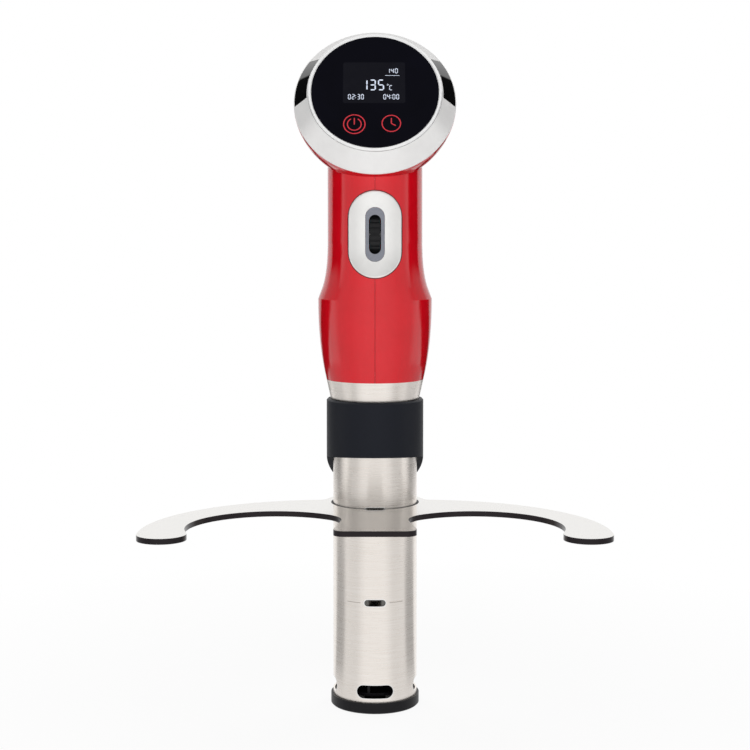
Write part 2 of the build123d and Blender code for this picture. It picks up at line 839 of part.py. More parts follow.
stack_height = -glass_thickness - seat_gap - board_top
with BuildPart() as display_module:
    with BuildSketch(face_plane.offset(board_top)):
        with Locations((0, display_up)):
            Rectangle(display_width, display_height)
    extrude(amount=stack_height)
display_module.part.label = "display_module"
export_step(display_module.part, "parts/display_module.step")

with BuildPart() as touch_pads:
    with BuildSketch(face_plane.offset(board_top)):
        with Locations((-touch_pad_spread, -touch_pad_down), (touch_pad_spread, -touch_pad_down)):
            Circle(touch_pad_r)
    extrude(amount=stack_height)
touch_pads.part.label = "touch_pads"
export_step(touch_pads.part, "parts/touch_pads.step")

# Wheel bezel and surround, curved to the handle's front
wheel_skirt_width = wheel_opening_width - 2 * slip_gap
wheel_skirt_height = wheel_opening_height - 2 * slip_gap
skirt_inset = shell_wall + wheel_skirt_depth
with BuildPart() as wheel_bezel:
    add(wheel_slot_stock(wheel_bezel_width, wheel_bezel_height, -wheel_bezel_proud, -seat_gap))
    add(wheel_slot_stock(wheel_skirt_width, wheel_skirt_height, -seat_gap, skirt_inset))
    add(
        wheel_slot_stock(
            wheel_skirt_width - 2 * wheel_skirt_wall,
            wheel_skirt_height - 2 * wheel_skirt_wall,
            0,
            skirt_inset + seat_gap,
        ),
        mode=Mode.SUBTRACT,
    )
    front_faces = wheel_bezel.faces().sort_by(lambda face: face.normal_at().Y)[:2]
    rim_edges = [
        edge
        for edge in front_faces.edges()
        if hypot(edge.center().X, edge.center().Z - wheel_z) > surround_width
    ]
    fillet(rim_edges, wheel_bezel_edge)
    with BuildSketch(wheel_plane):
        SlotOverall(surround_height + 2 * slip_gap, surround_width + 2 * slip_gap, rotation=90)
    extrude(amount=2 * neck_r, mode=Mode.SUBTRACT)
wheel_bezel.part.label = "wheel_bezel"
export_step(wheel_bezel.part, "parts/wheel_bezel.step")

with BuildPart() as wheel_surround:
    add(wheel_slot_stock(surround_width, surround_height, -surround_proud, surround_sunk))
    with BuildSketch(wheel_plane):
        SlotOverall(aperture_height, aperture_width, rotation=90)
    extrude(amount=2 * neck_r, mode=Mode.SUBTRACT)
wheel_surround.part.label = "wheel_surround"
export_step(wheel_surround.part, "parts/wheel_surround.step")

# Thumb wheel with a ribbed rim, on an axle that turns in the carrier and the encoder
wheel_axis_plane = Plane(origin=(0, wheel_y, wheel_z), x_dir=(0, 1, 0), z_dir=(1, 0, 0))
with BuildPart() as thumb_wheel:
    with BuildSketch(wheel_axis_plane):
        Circle(wheel_r)
        with PolarLocations(wheel_r, wheel_ribs):
            Rectangle(2 * rib_depth, rib_gap, mode=Mode.SUBTRACT)
        Circle(axle_r, mode=Mode.SUBTRACT)
    extrude(amount=wheel_width / 2, both=True)
thumb_wheel.part.label = "thumb_wheel"
export_step(thumb_wheel.part, "parts/thumb_wheel.step")

cheek_inner_x = wheel_width / 2 + carrier_room
cheek_outer_x = cheek_inner_x + carrier_wall
encoder_inner_x = cheek_outer_x + seat_gap
encoder_outer_x = encoder_inner_x + encoder_width
with BuildPart() as wheel_axle:
    with BuildSketch(wheel_axis_plane.offset(-cheek_outer_x)):
        Circle(axle_r)
    extrude(amount=cheek_outer_x + encoder_outer_x)
wheel_axle.part.label = "wheel_axle"
export_step(wheel_axle.part, "parts/wheel_axle.step")

carrier_front_y = seat_gap + surround_sunk - sqrt(neck_r**2 - cheek_outer_x**2)
carrier_depth = wheel_y + wheel_r + carrier_room + carrier_wall - carrier_front_y
with BuildPart() as wheel_carrier:
    with BuildSketch(Plane.XY.offset(wheel_z - carrier_half_height)):
        with Locations((0, carrier_front_y)):
            Rectangle(2 * cheek_outer_x, carrier_depth, align=(Align.CENTER, Align.MIN))
            Rectangle(
                2 * cheek_inner_x,
                carrier_depth - carrier_wall,
                align=(Align.CENTER, Align.MIN),
                mode=Mode.SUBTRACT,
            )
    extrude(amount=2 * carrier_half_height)
    with BuildSketch(wheel_axis_plane):
        Circle(axle_r + running_gap)
    extrude(amount=2 * neck_r, both=True, mode=Mode.SUBTRACT)
wheel_carrier.part.label = "wheel_carrier"
export_step(wheel_carrier.part, "parts/wheel_carrier.step")

with BuildPart() as encoder:
    with BuildSketch(wheel_axis_plane.offset(encoder_inner_x)):
        Rectangle(encoder_depth, encoder_height)
        Circle(axle_r + running_gap, mode=Mode.SUBTRACT)
    extrude(amount=encoder_width)
encoder.part.label = "encoder"
export_step(encoder.part, "parts/encoder.step")

# Power board on the housing's ribs, with relay, capacitors and choke in front and a heat sink behind
with BuildPart() as power_board:
    with BuildSketch(power_board_plane):
        with Locations((0, power_board_z + power_board_height / 2)):
            Rectangle(power_board_width, power_board_height)
    extrude(amount=-board_thickness)
power_board.part.label = "power_board"
export_step(power_board.part, "parts/power_board.step")

with BuildPart() as power_components:
    with BuildSketch(power_board_plane):
        with Locations((0, power_board_z + relay_rise)):
            Rectangle(relay_width, relay_height)
    extrude(amount=relay_depth)
    with BuildSketch(power_board_plane):
        with Locations((-component_spread, power_board_z + choke_rise)):
            Circle(choke_r)
    extrude(amount=choke_depth)
    with BuildSketch(power_board_plane):
        with Locations((component_spread, power_board_z + choke_rise)):
            Circle(capacitor_r)
    extrude(amount=capacitor_depth)
power_components.part.label = "power_components"
export_step(power_components.part, "parts/power_components.step")

fin_pitch = (heatsink_width - heatsink_fin) / (heatsink_fins - 1)
heatsink_z = power_board_z + power_board_height / 2
with BuildPart() as heatsink:
    with BuildSketch(Plane.XY.offset(heatsink_z - heatsink_height / 2)):
        with Locations((0, board_back_y + seat_gap)):
            Rectangle(heatsink_width, heatsink_base, align=(Align.CENTER, Align.MIN))
        for fin in range(heatsink_fins):
            fin_x = -(heatsink_width - heatsink_fin) / 2 + fin * fin_pitch
            with Locations((fin_x, board_back_y + seat_gap)):
                Rectangle(heatsink_fin, heatsink_depth, align=(Align.CENTER, Align.MIN))
    extrude(amount=heatsink_height)
heatsink.part.label = "heatsink"
export_step(heatsink.part, "parts/heatsink.step")

# Cord gland: a rubber bush that grips both sides of the housing's back wall
gland_depth = gland_inner_flange + shell_wall + gland_flange
gland_inner_plane = gland_plane.offset(neck_r - shell_wall - gland_inner_flange)
with BuildPart() as gland_wall:
    add(handle_form(-seat_gap))
    add(handle_form(shell_wall + seat_gap), mode=Mode.SUBTRACT)

with BuildPart() as cord_gland:
    with BuildSketch(gland_inner_plane):
        Circle(gland_flange_r)
    extrude(amount=gland_depth)
    add(gland_wall.part, mode=Mode.SUBTRACT)
    with BuildSketch(gland_inner_plane):
        Circle(gland_r)
    extrude(amount=gland_depth)
    with BuildSketch(gland_inner_plane):
        Circle(gland_bore_r)
    extrude(amount=gland_depth, mode=Mode.SUBTRACT)
cord_gland.part.label = "cord_gland"
export_step(cord_gland.part, "parts/cord_gland.step")

# Clamp collar: a ring on the sleeve whose back runs down as the fixed jaw, with ears for the lever
spring_sweep = 360 * spring_turns - lever_lean - spring_leg_angle
spring_length = spring_pitch * spring_sweep / 360
lever_ear_inner_x = spring_length / 2 + wire_r + side_gap
lever_ear_outer_x = lever_ear_inner_x + ear_thickness
collar_ear_inner_x = lever_ear_outer_x + side_gap
collar_ear_outer_x = collar_ear_inner_x + ear_thickness
collar_side_z = collar_bottom_z - collar_side_drop
shield_run = (collar_side_z - shield_bottom_z) / shield_slope
with BuildPart() as clamp_collar:
    with BuildSketch(Plane.XY.offset(shield_bottom_z)):
        Circle(collar_r)
    extrude(amount=collar_top_z - shield_bottom_z)
    chamfer(clamp_collar.faces().sort_by(Axis.Z)[-1].edges(), collar_edge)
    with BuildSketch(Plane.YZ):
        with BuildLine():
            Polyline(
                (-collar_r, collar_bottom_z),
                (0, collar_side_z),
                (shield_run, shield_bottom_z),
                (-collar_r, shield_bottom_z),
                close=True,
            )
        make_face()
    extrude(amount=2 * collar_r, both=True, mode=Mode.SUBTRACT)
    with BuildSketch(Plane.YZ):
        with Locations((0, jaw_bottom_z)):
            Rectangle(jaw_back_y, jaw_height, align=(Align.MIN, Align.MIN))
    extrude(amount=jaw_half_width, both=True)
    for side in (-1, 1):
        with BuildSketch(Plane.YZ.offset(side * (collar_ear_inner_x + collar_ear_outer_x) / 2)):
            with Locations((pivot_y, pivot_z)):
                Circle(ear_r)
            with Locations((sleeve_r, pivot_z)):
                Rectangle(ear_root, ear_height)
            make_hull()
            with Locations((pivot_y, pivot_z)):
                Circle(pin_r, mode=Mode.SUBTRACT)
        extrude(amount=ear_thickness / 2, both=True)
    with BuildSketch(Plane.XY.offset(shield_bottom_z)):
        Circle(collar_inner_r)
    extrude(amount=collar_top_z - shield_bottom_z, mode=Mode.SUBTRACT)
clamp_collar.part.label = "clamp_collar"
export_step(clamp_collar.part, "parts/clamp_collar.step")

with BuildPart() as hinge_pin:
    with BuildSketch(Plane.YZ.offset(-collar_ear_outer_x)):
        with Locations((pivot_y, pivot_z)):
            Circle(pin_r)
    extrude(amount=2 * collar_ear_outer_x)
hinge_pin.part.label = "hinge_pin"
export_step(hinge_pin.part, "parts/hinge_pin.step")

with BuildPart() as jaw_pad:
    with BuildSketch(Plane.YZ):
        with Locations((jaw_back_y + seat_gap, jaw_bottom_z + pad_edge)):
            Rectangle(pad_thickness, jaw_height - 2 * pad_edge, align=(Align.MIN, Align.MIN))
    extrude(amount=jaw_half_width - pad_edge, both=True)
jaw_pad.part.label = "jaw_pad"
export_step(jaw_pad.part, "parts/jaw_pad.step")

# Clip lever: a bent plate behind the pin, with two ears on it
lever_face = spring_r + wire_r + side_gap
lever_middle = lever_face + lever_thickness / 2
lean_sin = sin(radians(lever_lean))
lean_cos = cos(radians(lever_lean))
lever_jaw_z = jaw_bottom_z + pad_edge
lever_points = (
    (pivot_y + (lever_middle + lever_rise * lean_sin) / lean_cos, pivot_z + lever_rise),
    (pivot_y + lever_middle, pivot_z - lever_middle * (1 - lean_cos) / lean_sin),
    (pivot_y + lever_middle, pivot_z - lever_waist_drop),
    (lever_jaw_y + lever_thickness / 2, lever_jaw_z + lever_jaw_height),
    (lever_jaw_y + lever_thickness / 2, lever_jaw_z),
)
with BuildPart() as clip_lever:
    with BuildSketch(Plane.YZ):
        with BuildLine() as lever_line:
            FilletPolyline(*lever_points, radius=lever_bend_r)
        trace(lever_line.line, line_width=lever_thickness)
    extrude(amount=lever_half_width, both=True)
    for end_face in (clip_lever.faces().sort_by(Axis.Z)[-1], clip_lever.faces().sort_by(Axis.Z)[0]):
        fillet(end_face.edges().filter_by(Axis.X, reverse=True), lever_corner_r)
    for side in (-1, 1):
        with BuildSketch(Plane.YZ.offset(side * (lever_ear_inner_x + lever_ear_outer_x) / 2)):
            with Locations((pivot_y, pivot_z)):
                Circle(ear_r - side_gap)
            with Locations((pivot_y + lever_middle, pivot_z - ear_r)):
                Rectangle(lever_thickness / 2, 2 * ear_r)
            make_hull()
            with Locations((pivot_y, pivot_z)):
                Circle(pin_r + running_gap, mode=Mode.SUBTRACT)
        extrude(amount=ear_thickness / 2, both=True)
clip_lever.part.label = "clip_lever"
export_step(clip_lever.part, "parts/clip_lever.step")

with BuildPart() as lever_pad:
    with BuildSketch(Plane.YZ):
        with Locations((lever_pad_y, lever_jaw_z)):
            Rectangle(pad_thickness, lever_jaw_height - lever_bend_r, align=(Align.MIN, Align.MIN))
    extrude(amount=lever_half_width - pad_edge, both=True)
lever_pad.part.label = "lever_pad"
export_step(lever_pad.part, "parts/lever_pad.step")


# Torsion spring: coils round the pin, one leg on the collar and one on the lever's upper arm
def spring_point(turn):
    """Point on the wire's helix at a turn angle, in degrees."""
    along = spring_pitch * (turn - spring_leg_angle) / 360 - spring_length / 2
    out_y = spring_r * cos(radians(turn))
    out_z = spring_r * sin(radians(turn))
    return Vector(along, pivot_y + out_y, pivot_z + out_z)


def spring_heading(turn):
    """Direction of the wire at a turn angle, in degrees."""
    advance = spring_pitch / (2 * pi)
    return Vector(advance, -spring_r * sin(radians(turn)), spring_r * cos(radians(turn))).normalized()


def add_biarc(start, start_heading, end, end_heading):
    """Two arcs that leave the start along its heading and reach the end along its own."""
    chord = end - start
    lean = chord.dot(start_heading + end_heading)
    spread = 2 * (1 - start_heading.dot(end_heading))
    reach = (sqrt(lean**2 + spread * chord.dot(chord)) - lean) / spread
    first = start + start_heading * reach
    second = end - end_heading * reach
    meeting = (first + second) * 0.5
    TangentArc(start, meeting, tangent=start_heading)
    TangentArc(meeting, end, tangent=second - first)


spring_end_angle = spring_leg_angle + spring_sweep
quarter_turns = round(spring_sweep / 90)
quarter_angle = spring_sweep / quarter_turns
spring_turn_angles = [spring_leg_angle + quarter * quarter_angle for quarter in range(quarter_turns + 1)]
collar_leg_end = spring_point(spring_leg_angle) - spring_heading(spring_leg_angle) * spring_leg
lever_leg_end = spring_point(spring_end_angle) + spring_heading(spring_end_angle) * spring_leg
with BuildPart() as torsion_spring:
    with BuildLine() as spring_path:
        Line(collar_leg_end, spring_point(spring_leg_angle))
        for start_turn, end_turn in zip(spring_turn_angles, spring_turn_angles[1:]):
            add_biarc(
                spring_point(start_turn),
                spring_heading(start_turn),
                spring_point(end_turn),
                spring_heading(end_turn),
            )
        Line(spring_point(spring_end_angle), lever_leg_end)
    with BuildSketch(Plane(origin=collar_leg_end, z_dir=spring_heading(spring_leg_angle))):
        RegularPolygon(wire_r, wire_sides)
    sweep(path=spring_path.wire())
torsion_spring.part.label = "torsion_spring"
export_step(torsion_spring.part, "parts/torsion_spring.step")

# Least gap of the spring's wire to itself, on points more than half a turn apart along it
collar_leg_start = spring_point(spring_leg_angle)
lever_leg_start = spring_point(spring_end_angle)
leg_shares = [step / spring_leg_steps for step in range(1, spring_leg_steps + 1)]
coil_steps = int(spring_sweep / spring_point_step)
wire_points = [collar_leg_end + (collar_leg_start - collar_leg_end) * share for share in leg_shares]
wire_points += [spring_point(spring_leg_angle + step * spring_point_step) for step in range(1, coil_steps)]
wire_points += [lever_leg_start + (lever_leg_end - lever_leg_start) * share for share in leg_shares]
half_turn_points = int(180 / spring_point_step)
least_gap = min(
    (wire_points[i] - wire_points[j]).length - 2 * wire_r
    for i in range(len(wire_points))
    for j in range(i + half_turn_points, len(wire_points))
)
print(f"torsion spring: least gap of the wire to itself {least_gap:.2f} mm")

# Bottle rack and the silicone ring in its hole
with BuildPart() as rack_grommet:
    with BuildSketch(Plane.XY.offset(rack_z)):
        Circle(grommet_r)
        Circle(sleeve_r + running_gap, mode=Mode.SUBTRACT)
    extrude(amount=rack_thickness)
rack_grommet.part.label = "rack_grommet"
export_step(rack_grommet.part, "parts/rack_grommet.step")


def circles_meet(first, first_reach, second, second_reach, side):
    """Point at given distances from two points, to the left (1) or right (-1) of the way between them."""
    gap = second - first
    along = (first_reach**2 - second_reach**2 + gap.length**2) / (2 * gap.length)
    across = sqrt(first_reach**2 - along**2)
    heading = gap.normalized()
    left = Vector(-heading.Y, heading.X)
    return first + heading * along + left * (side * across)


def angle_of(vector):
    """Angle of a vector in the plan, in degrees."""
    return degrees(atan2(vector.Y, vector.X))


# Centres of the arcs of the rack's right half, each tangent to the next
ring_centre = Vector(0, 0)
arm_centre = Vector(arm_outer_x, arm_outer_y)
bay_centre = Vector(bay_x, bay_y)
ring_blend_reach = rack_ring_r + rack_ring_blend_r
arm_blend_reach = arm_outer_r + rack_ring_blend_r
root_centre = circles_meet(ring_centre, ring_blend_reach, arm_centre, arm_blend_reach, 1)
tip_centre = circles_meet(arm_centre, arm_outer_r - hook_tip_r, bay_centre, bay_r + hook_tip_r, -1)
bay_reach = bay_x - neck_half_width
bay_rise = neck_y - bay_y
pinch_r = (bay_r**2 - bay_reach**2 - bay_rise**2) / (2 * (bay_r - bay_reach))
pinch_centre = Vector(neck_half_width + pinch_r, neck_y)
corner_centre = Vector(tongue_half_width - tongue_corner_r, tongue_front_y + tongue_corner_r)
pinch_gap = corner_centre - pinch_centre
side_angle = angle_of(pinch_gap) % 360 - degrees(acos((pinch_r + tongue_corner_r) / pinch_gap.length))
root_angle = angle_of(root_centre)
arm_start = angle_of(root_centre - arm_centre)
tip_start = angle_of(tip_centre - arm_centre)
bay_start = angle_of(tip_centre - bay_centre)
bay_end = angle_of(pinch_centre - bay_centre)
tip_turn = bay_start - tip_start - 180
with BuildPart() as bottle_rack:
    with BuildSketch(Plane.XY.offset(rack_z)):
        with BuildLine():
            CenterArc(ring_centre, rack_ring_r, 90, root_angle - 90)
            CenterArc(root_centre, rack_ring_blend_r, root_angle + 180, arm_start - root_angle)
            CenterArc(arm_centre, arm_outer_r, arm_start, tip_start - arm_start)
            CenterArc(tip_centre, hook_tip_r, tip_start, tip_turn)
            CenterArc(bay_centre, bay_r, bay_start, bay_end - bay_start)
            pinch = CenterArc(pinch_centre, pinch_r, bay_end, side_angle - bay_end)
            corner = CenterArc(corner_centre, tongue_corner_r, side_angle - 180, 90 - side_angle)
            Line(pinch @ 1, corner @ 0)
            Line(corner @ 1, (0, tongue_front_y))
            mirror(about=Plane.YZ)
        make_face()
        Circle(rack_hole_r, mode=Mode.SUBTRACT)
    extrude(amount=rack_thickness)
bottle_rack.part.label = "bottle_rack"
export_step(bottle_rack.part, "parts/bottle_rack.step")
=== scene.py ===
"""Looks of the immersion circulator, built round its CAD frame. Metres, +Z up, the face looks towards -Y."""

from math import asin, cos, pi, radians, sin

import bmesh
import bpy
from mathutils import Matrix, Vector


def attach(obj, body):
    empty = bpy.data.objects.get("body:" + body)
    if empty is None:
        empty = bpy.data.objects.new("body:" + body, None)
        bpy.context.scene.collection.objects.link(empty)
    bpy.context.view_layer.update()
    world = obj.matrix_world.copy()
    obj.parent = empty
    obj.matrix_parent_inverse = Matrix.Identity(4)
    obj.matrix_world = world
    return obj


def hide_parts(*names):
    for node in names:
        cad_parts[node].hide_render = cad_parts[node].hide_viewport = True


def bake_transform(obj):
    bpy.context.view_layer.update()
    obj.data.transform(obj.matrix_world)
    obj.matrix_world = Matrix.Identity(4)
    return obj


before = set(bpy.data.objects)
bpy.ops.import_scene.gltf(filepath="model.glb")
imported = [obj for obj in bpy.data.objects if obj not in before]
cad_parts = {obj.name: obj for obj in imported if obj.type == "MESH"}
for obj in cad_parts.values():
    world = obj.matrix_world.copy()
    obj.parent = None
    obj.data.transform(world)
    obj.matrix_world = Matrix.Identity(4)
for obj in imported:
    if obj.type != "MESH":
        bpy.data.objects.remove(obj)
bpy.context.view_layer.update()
scene = bpy.context.scene

MM = 0.001

# Face plane, in millimetres: centre of the glass's front, tilted back from upright
FACE_CENTRE = Vector((0, -20.0, 349.7))
FACE_TILT = radians(26.4)
FACE_NORMAL = Vector((0, -cos(FACE_TILT), sin(FACE_TILT)))
FACE_UP = Vector((0, sin(FACE_TILT), cos(FACE_TILT)))

# Steel tube and the openings in it, in millimetres
TUBE_R = 24.0
OUTLET_SIZE = (20.4, 7.5)
OUTLET_Z = 12.3
OUTLET_TURNS = (0, 90, 180, 270)
SLOT_SIZE = (12.0, 3.7)
SLOT_LEVELS = (63.0, 115.2)


# Materials


def linear(code):
    """Linear colour of an sRGB hex code such as C81E2D."""
    shares = [int(code[i : i + 2], 16) / 255 for i in (0, 2, 4)]
    return tuple(s / 12.92 if s <= 0.04045 else ((s + 0.055) / 1.055) ** 2.4 for s in shares) + (1.0,)


def add_node(tree, kind, values=None, links=None, **settings):
    """Add a node with its settings and input values, and link sockets into it."""
    node = tree.nodes.new(kind)
    for name, value in settings.items():
        setattr(node, name, value)
    for name, value in (values or {}).items():
        node.inputs[name].default_value = value
    for name, socket in (links or {}).items():
        tree.links.new(socket, node.inputs[name])
    return node


def set_ramp(node, stops):
    """Give a colour ramp its stops, each a position and a linear colour."""
    ramp = node.color_ramp
    while len(ramp.elements) < len(stops):
        ramp.elements.new(1.0)
    for element, (position, colour) in zip(ramp.elements, stops):
        element.position = position
        element.color = colour


# Noise values between which a grain runs from its low end to its high end
GRAIN_START = 0.3
GRAIN_END = 0.7


def grained_material(name, low, high, rough, shader, grain_mm, bump_mm, stretch=(1, 1, 1), glow=False):
    """Material whose colour and roughness run between two values with a grain of a size in millimetres.

    Stretch is the grain's length along each axis in grains, which draws it out into brush lines.
    """
    material = bpy.data.materials.new(name)
    material.use_nodes = True
    tree = material.node_tree
    tree.nodes.clear()
    place = add_node(tree, "ShaderNodeTexCoord")
    spread = add_node(
        tree,
        "ShaderNodeMapping",
        {"Scale": [1 / (grain_mm * MM * length) for length in stretch]},
        {"Vector": place.outputs["Object"]},
    )
    grain = add_node(
        tree,
        "ShaderNodeTexNoise",
        {"Scale": 1.0, "Detail": 3.0, "Roughness": 0.6},
        {"Vector": spread.outputs["Vector"]},
    )
    colour = add_node(tree, "ShaderNodeValToRGB", links={"Fac": grain.outputs["Fac"]})
    set_ramp(colour, ((GRAIN_START, linear(low)), (GRAIN_END, linear(high))))
    roughness = add_node(
        tree,
        "ShaderNodeMapRange",
        {"From Min": GRAIN_START, "From Max": GRAIN_END, "To Min": rough[0], "To Max": rough[1]},
        {"Value": grain.outputs["Fac"]},
    )
    bump = add_node(
        tree,
        "ShaderNodeBump",
        {"Strength": 1.0, "Distance": bump_mm * MM},
        {"Height": grain.outputs["Fac"]},
    )
    surface = add_node(
        tree,
        "ShaderNodeBsdfPrincipled",
        shader,
        {
            "Base Color": colour.outputs["Color"],
            "Roughness": roughness.outputs["Result"],
            "Normal": bump.outputs["Normal"],
        },
    )
    if glow:
        tree.links.new(colour.outputs["Color"], surface.inputs["Emission Color"])
    add_node(tree, "ShaderNodeOutputMaterial", links={"Surface": surface.outputs["BSDF"]})
    return material


# Polished red ABS: a deep gloss with the faintest moulding ripple
red_abs = grained_material("polished_red_abs", "D20316", "D9061B", (0.08, 0.12), {"IOR": 1.54}, 14, 0.003)
# Silver lacquer of the head's bezel: metal flakes in varnish, half mirror and half scatter
silver_lacquer = grained_material(
    "silver_lacquer", "F1F0EF", "F5F4F3", (0.36, 0.42), {"Metallic": 0.35}, 6, 0.0005
)
# Silver lacquer under clear gloss round the wheel: whiter than plating, with a soft mirror over it
silver_plate = grained_material(
    "gloss_silver_lacquer", "EEEDEB", "F3F2F0", (0.12, 0.16), {"Metallic": 0.55}, 6, 0.0005
)
# Pearl-bright plating on the thin lip round the glass: it scatters more than it mirrors
bright_plate = grained_material(
    "pearl_plating", "F6F6F6", "FAFAFA", (0.22, 0.28), {"Metallic": 0.5}, 5, 0.0005
)
# Black ABS of the bezel's two inserts, polished to a mirror
black_gloss_abs = grained_material(
    "mirror_black_abs", "060607", "0A0A0C", (0.001, 0.003), {"IOR": 1.54}, 12, 0.0005
)
# Toughened glass, printed black behind and coated against glare, so it hardly mirrors anything
dark_glass = grained_material(
    "coated_black_glass",
    "07070F",
    "090913",
    (0.02, 0.035),
    {"IOR": 1.52, "Specular IOR Level": 0.03},
    20,
    0.0002,
)
# Unlit panel of the display behind the same glass, a shade lighter than the print round it
display_panel = grained_material(
    "display_panel", "14141B", "18181F", (0.05, 0.08), {"IOR": 1.5, "Specular IOR Level": 0.03}, 8, 0.0002
)
# Glass-filled nylon of the clamp collar and clip: fine spark-eroded grain that scatters the gloss
black_nylon = grained_material(
    "grained_black_nylon",
    "0C0F17",
    "12151E",
    (0.42, 0.55),
    {"IOR": 1.53, "Specular IOR Level": 0.22},
    0.7,
    0.01,
)
# Moulded black ABS of the base cap, the pump and the small inner pieces, smoother than the collar
black_abs = grained_material(
    "satin_black_abs", "0A090D", "0F0E12", (0.32, 0.42), {"IOR": 1.54, "Specular IOR Level": 0.2}, 1.2, 0.005
)
# Satin grey ABS round the wheel
grey_abs = grained_material("satin_grey_abs", "787A84", "81838D", (0.3, 0.4), {"IOR": 1.54}, 1.0, 0.005)
# Rubber tread of the thumb wheel: nearly no gloss
black_rubber = grained_material(
    "wheel_rubber", "0B0B0D", "121214", (0.5, 0.65), {"IOR": 1.52, "Specular IOR Level": 0.35}, 0.5, 0.012
)
# Silicone of the pads, the gland and the rack's ring: dull and even
black_silicone = grained_material("black_silicone", "121214", "18181A", (0.5, 0.6), {"IOR": 1.43}, 1.5, 0.01)
# Stainless tube brushed round its circumference: its lights run out into bands along the tube. The brush lines
# are drawn a few times as coarse as real ones, so that they show
brushed_tube = grained_material(
    "brushed_stainless_tube",
    "F1E9E1",
    "FEF8F2",
    (0.26, 0.32),
    {"Metallic": 1.0, "Anisotropic": 0.6, "Anisotropic Rotation": 0.25},
    0.5,
    0.0004,
    (40, 40, 1),
)
# Edge of each opening in the tube, deburred and buffed bright
buffed_edge = grained_material(
    "buffed_stainless_edge", "F3F2F0", "F8F7F6", (0.2, 0.28), {"Metallic": 1.0}, 0.6, 0.0004
)
# Level lines lightly etched into the tube: the same steel, dulled
etched_steel = grained_material(
    "etched_stainless", "CBC3BB", "D3CBC4", (0.5, 0.6), {"Metallic": 1.0}, 0.5, 0.001
)
# Heater's sheath, annealed to a dull grey oxide
annealed_sheath = grained_material(
    "annealed_sheath", "8E8C89", "9B9996", (0.55, 0.65), {"IOR": 1.5}, 1.5, 0.003
)
# Bright steel of the pin, the spring and the pieces inside
bright_steel = grained_material(
    "drawn_steel", "C2C0BD", "CECCC9", (0.22, 0.32), {"Metallic": 1.0}, 0.8, 0.002
)
# Plated steel of the motor can
plated_steel = grained_material(
    "zinc_plated_steel", "9A9A98", "AAAAA8", (0.3, 0.42), {"Metallic": 1.0}, 2.0, 0.003
)
# Extruded aluminium of the heat sink and the coupling
raw_aluminium = grained_material(
    "extruded_aluminium", "BFC1C4", "CBCDD0", (0.32, 0.42), {"Metallic": 1.0}, 0.6, 0.003, (1, 1, 30)
)
# Sintered bronze of the bushes: open pores
sintered_bronze = grained_material(
    "sintered_bronze", "8A6A35", "A27F45", (0.4, 0.55), {"Metallic": 1.0}, 0.4, 0.01
)
# Glass-fibre board under green solder mask
green_board = grained_material(
    "solder_mask_board", "14502A", "1B6034", (0.25, 0.35), {"IOR": 1.5}, 1.5, 0.004
)
# Natural moulded polymer of the motor bracket and the bulkhead
pale_polymer = grained_material("natural_polymer", "CFCBBE", "DAD6CA", (0.35, 0.5), {"IOR": 1.5}, 1.5, 0.006)
# White segments of the display, lit a little unevenly from behind
lit_segments = grained_material(
    "lit_segments", "C9D2E6", "DCE4F4", (0.3, 0.4), {"Emission Strength": 0.25}, 2.5, 0.0002, glow=True
)
# Red touch marks, lit a little unevenly from behind
lit_red_marks = grained_material(
    "lit_red_marks", "B3212E", "C02835", (0.3, 0.4), {"Emission Strength": 0.25}, 2.5, 0.0002, glow=True
)
# Satin stainless plate: bright ground faces; further below, painted shade darkens its upright cut edges
satin_plate = grained_material(
    "satin_stainless_plate", "E6E4E0", "EEECE9", (0.18, 0.24), {"Metallic": 1.0}, 0.4, 0.0008, (60, 1, 1)
)


def paint_edge_shade(material, shade_code):
    """Paint shade in: mix a dark colour in where the surface stands upright, as on a plate's cut edges."""
    tree = material.node_tree
    surface = next(node for node in tree.nodes if node.type == "BSDF_PRINCIPLED")
    ground = surface.inputs["Base Color"].links[0].from_socket
    facing = add_node(tree, "ShaderNodeNewGeometry")
    parts = add_node(tree, "ShaderNodeSeparateXYZ", links={"Vector": facing.outputs["True Normal"]})
    level = add_node(tree, "ShaderNodeMath", links={0: parts.outputs["Z"]}, operation="ABSOLUTE")
    colour = add_node(
        tree,
        "ShaderNodeMixRGB",
        {"Color1": linear(shade_code)},
        {"Fac": level.outputs["Value"], "Color2": ground},
    )
    tree.links.new(colour.outputs["Color"], surface.inputs["Base Color"])


# Painted shade on the plate's upright cut edges
paint_edge_shade(satin_plate, "302C2E")


# How far the surface looks to the front where the flattening starts, and where it is whole
FRONT_START = -0.6
FRONT_WHOLE = -0.9


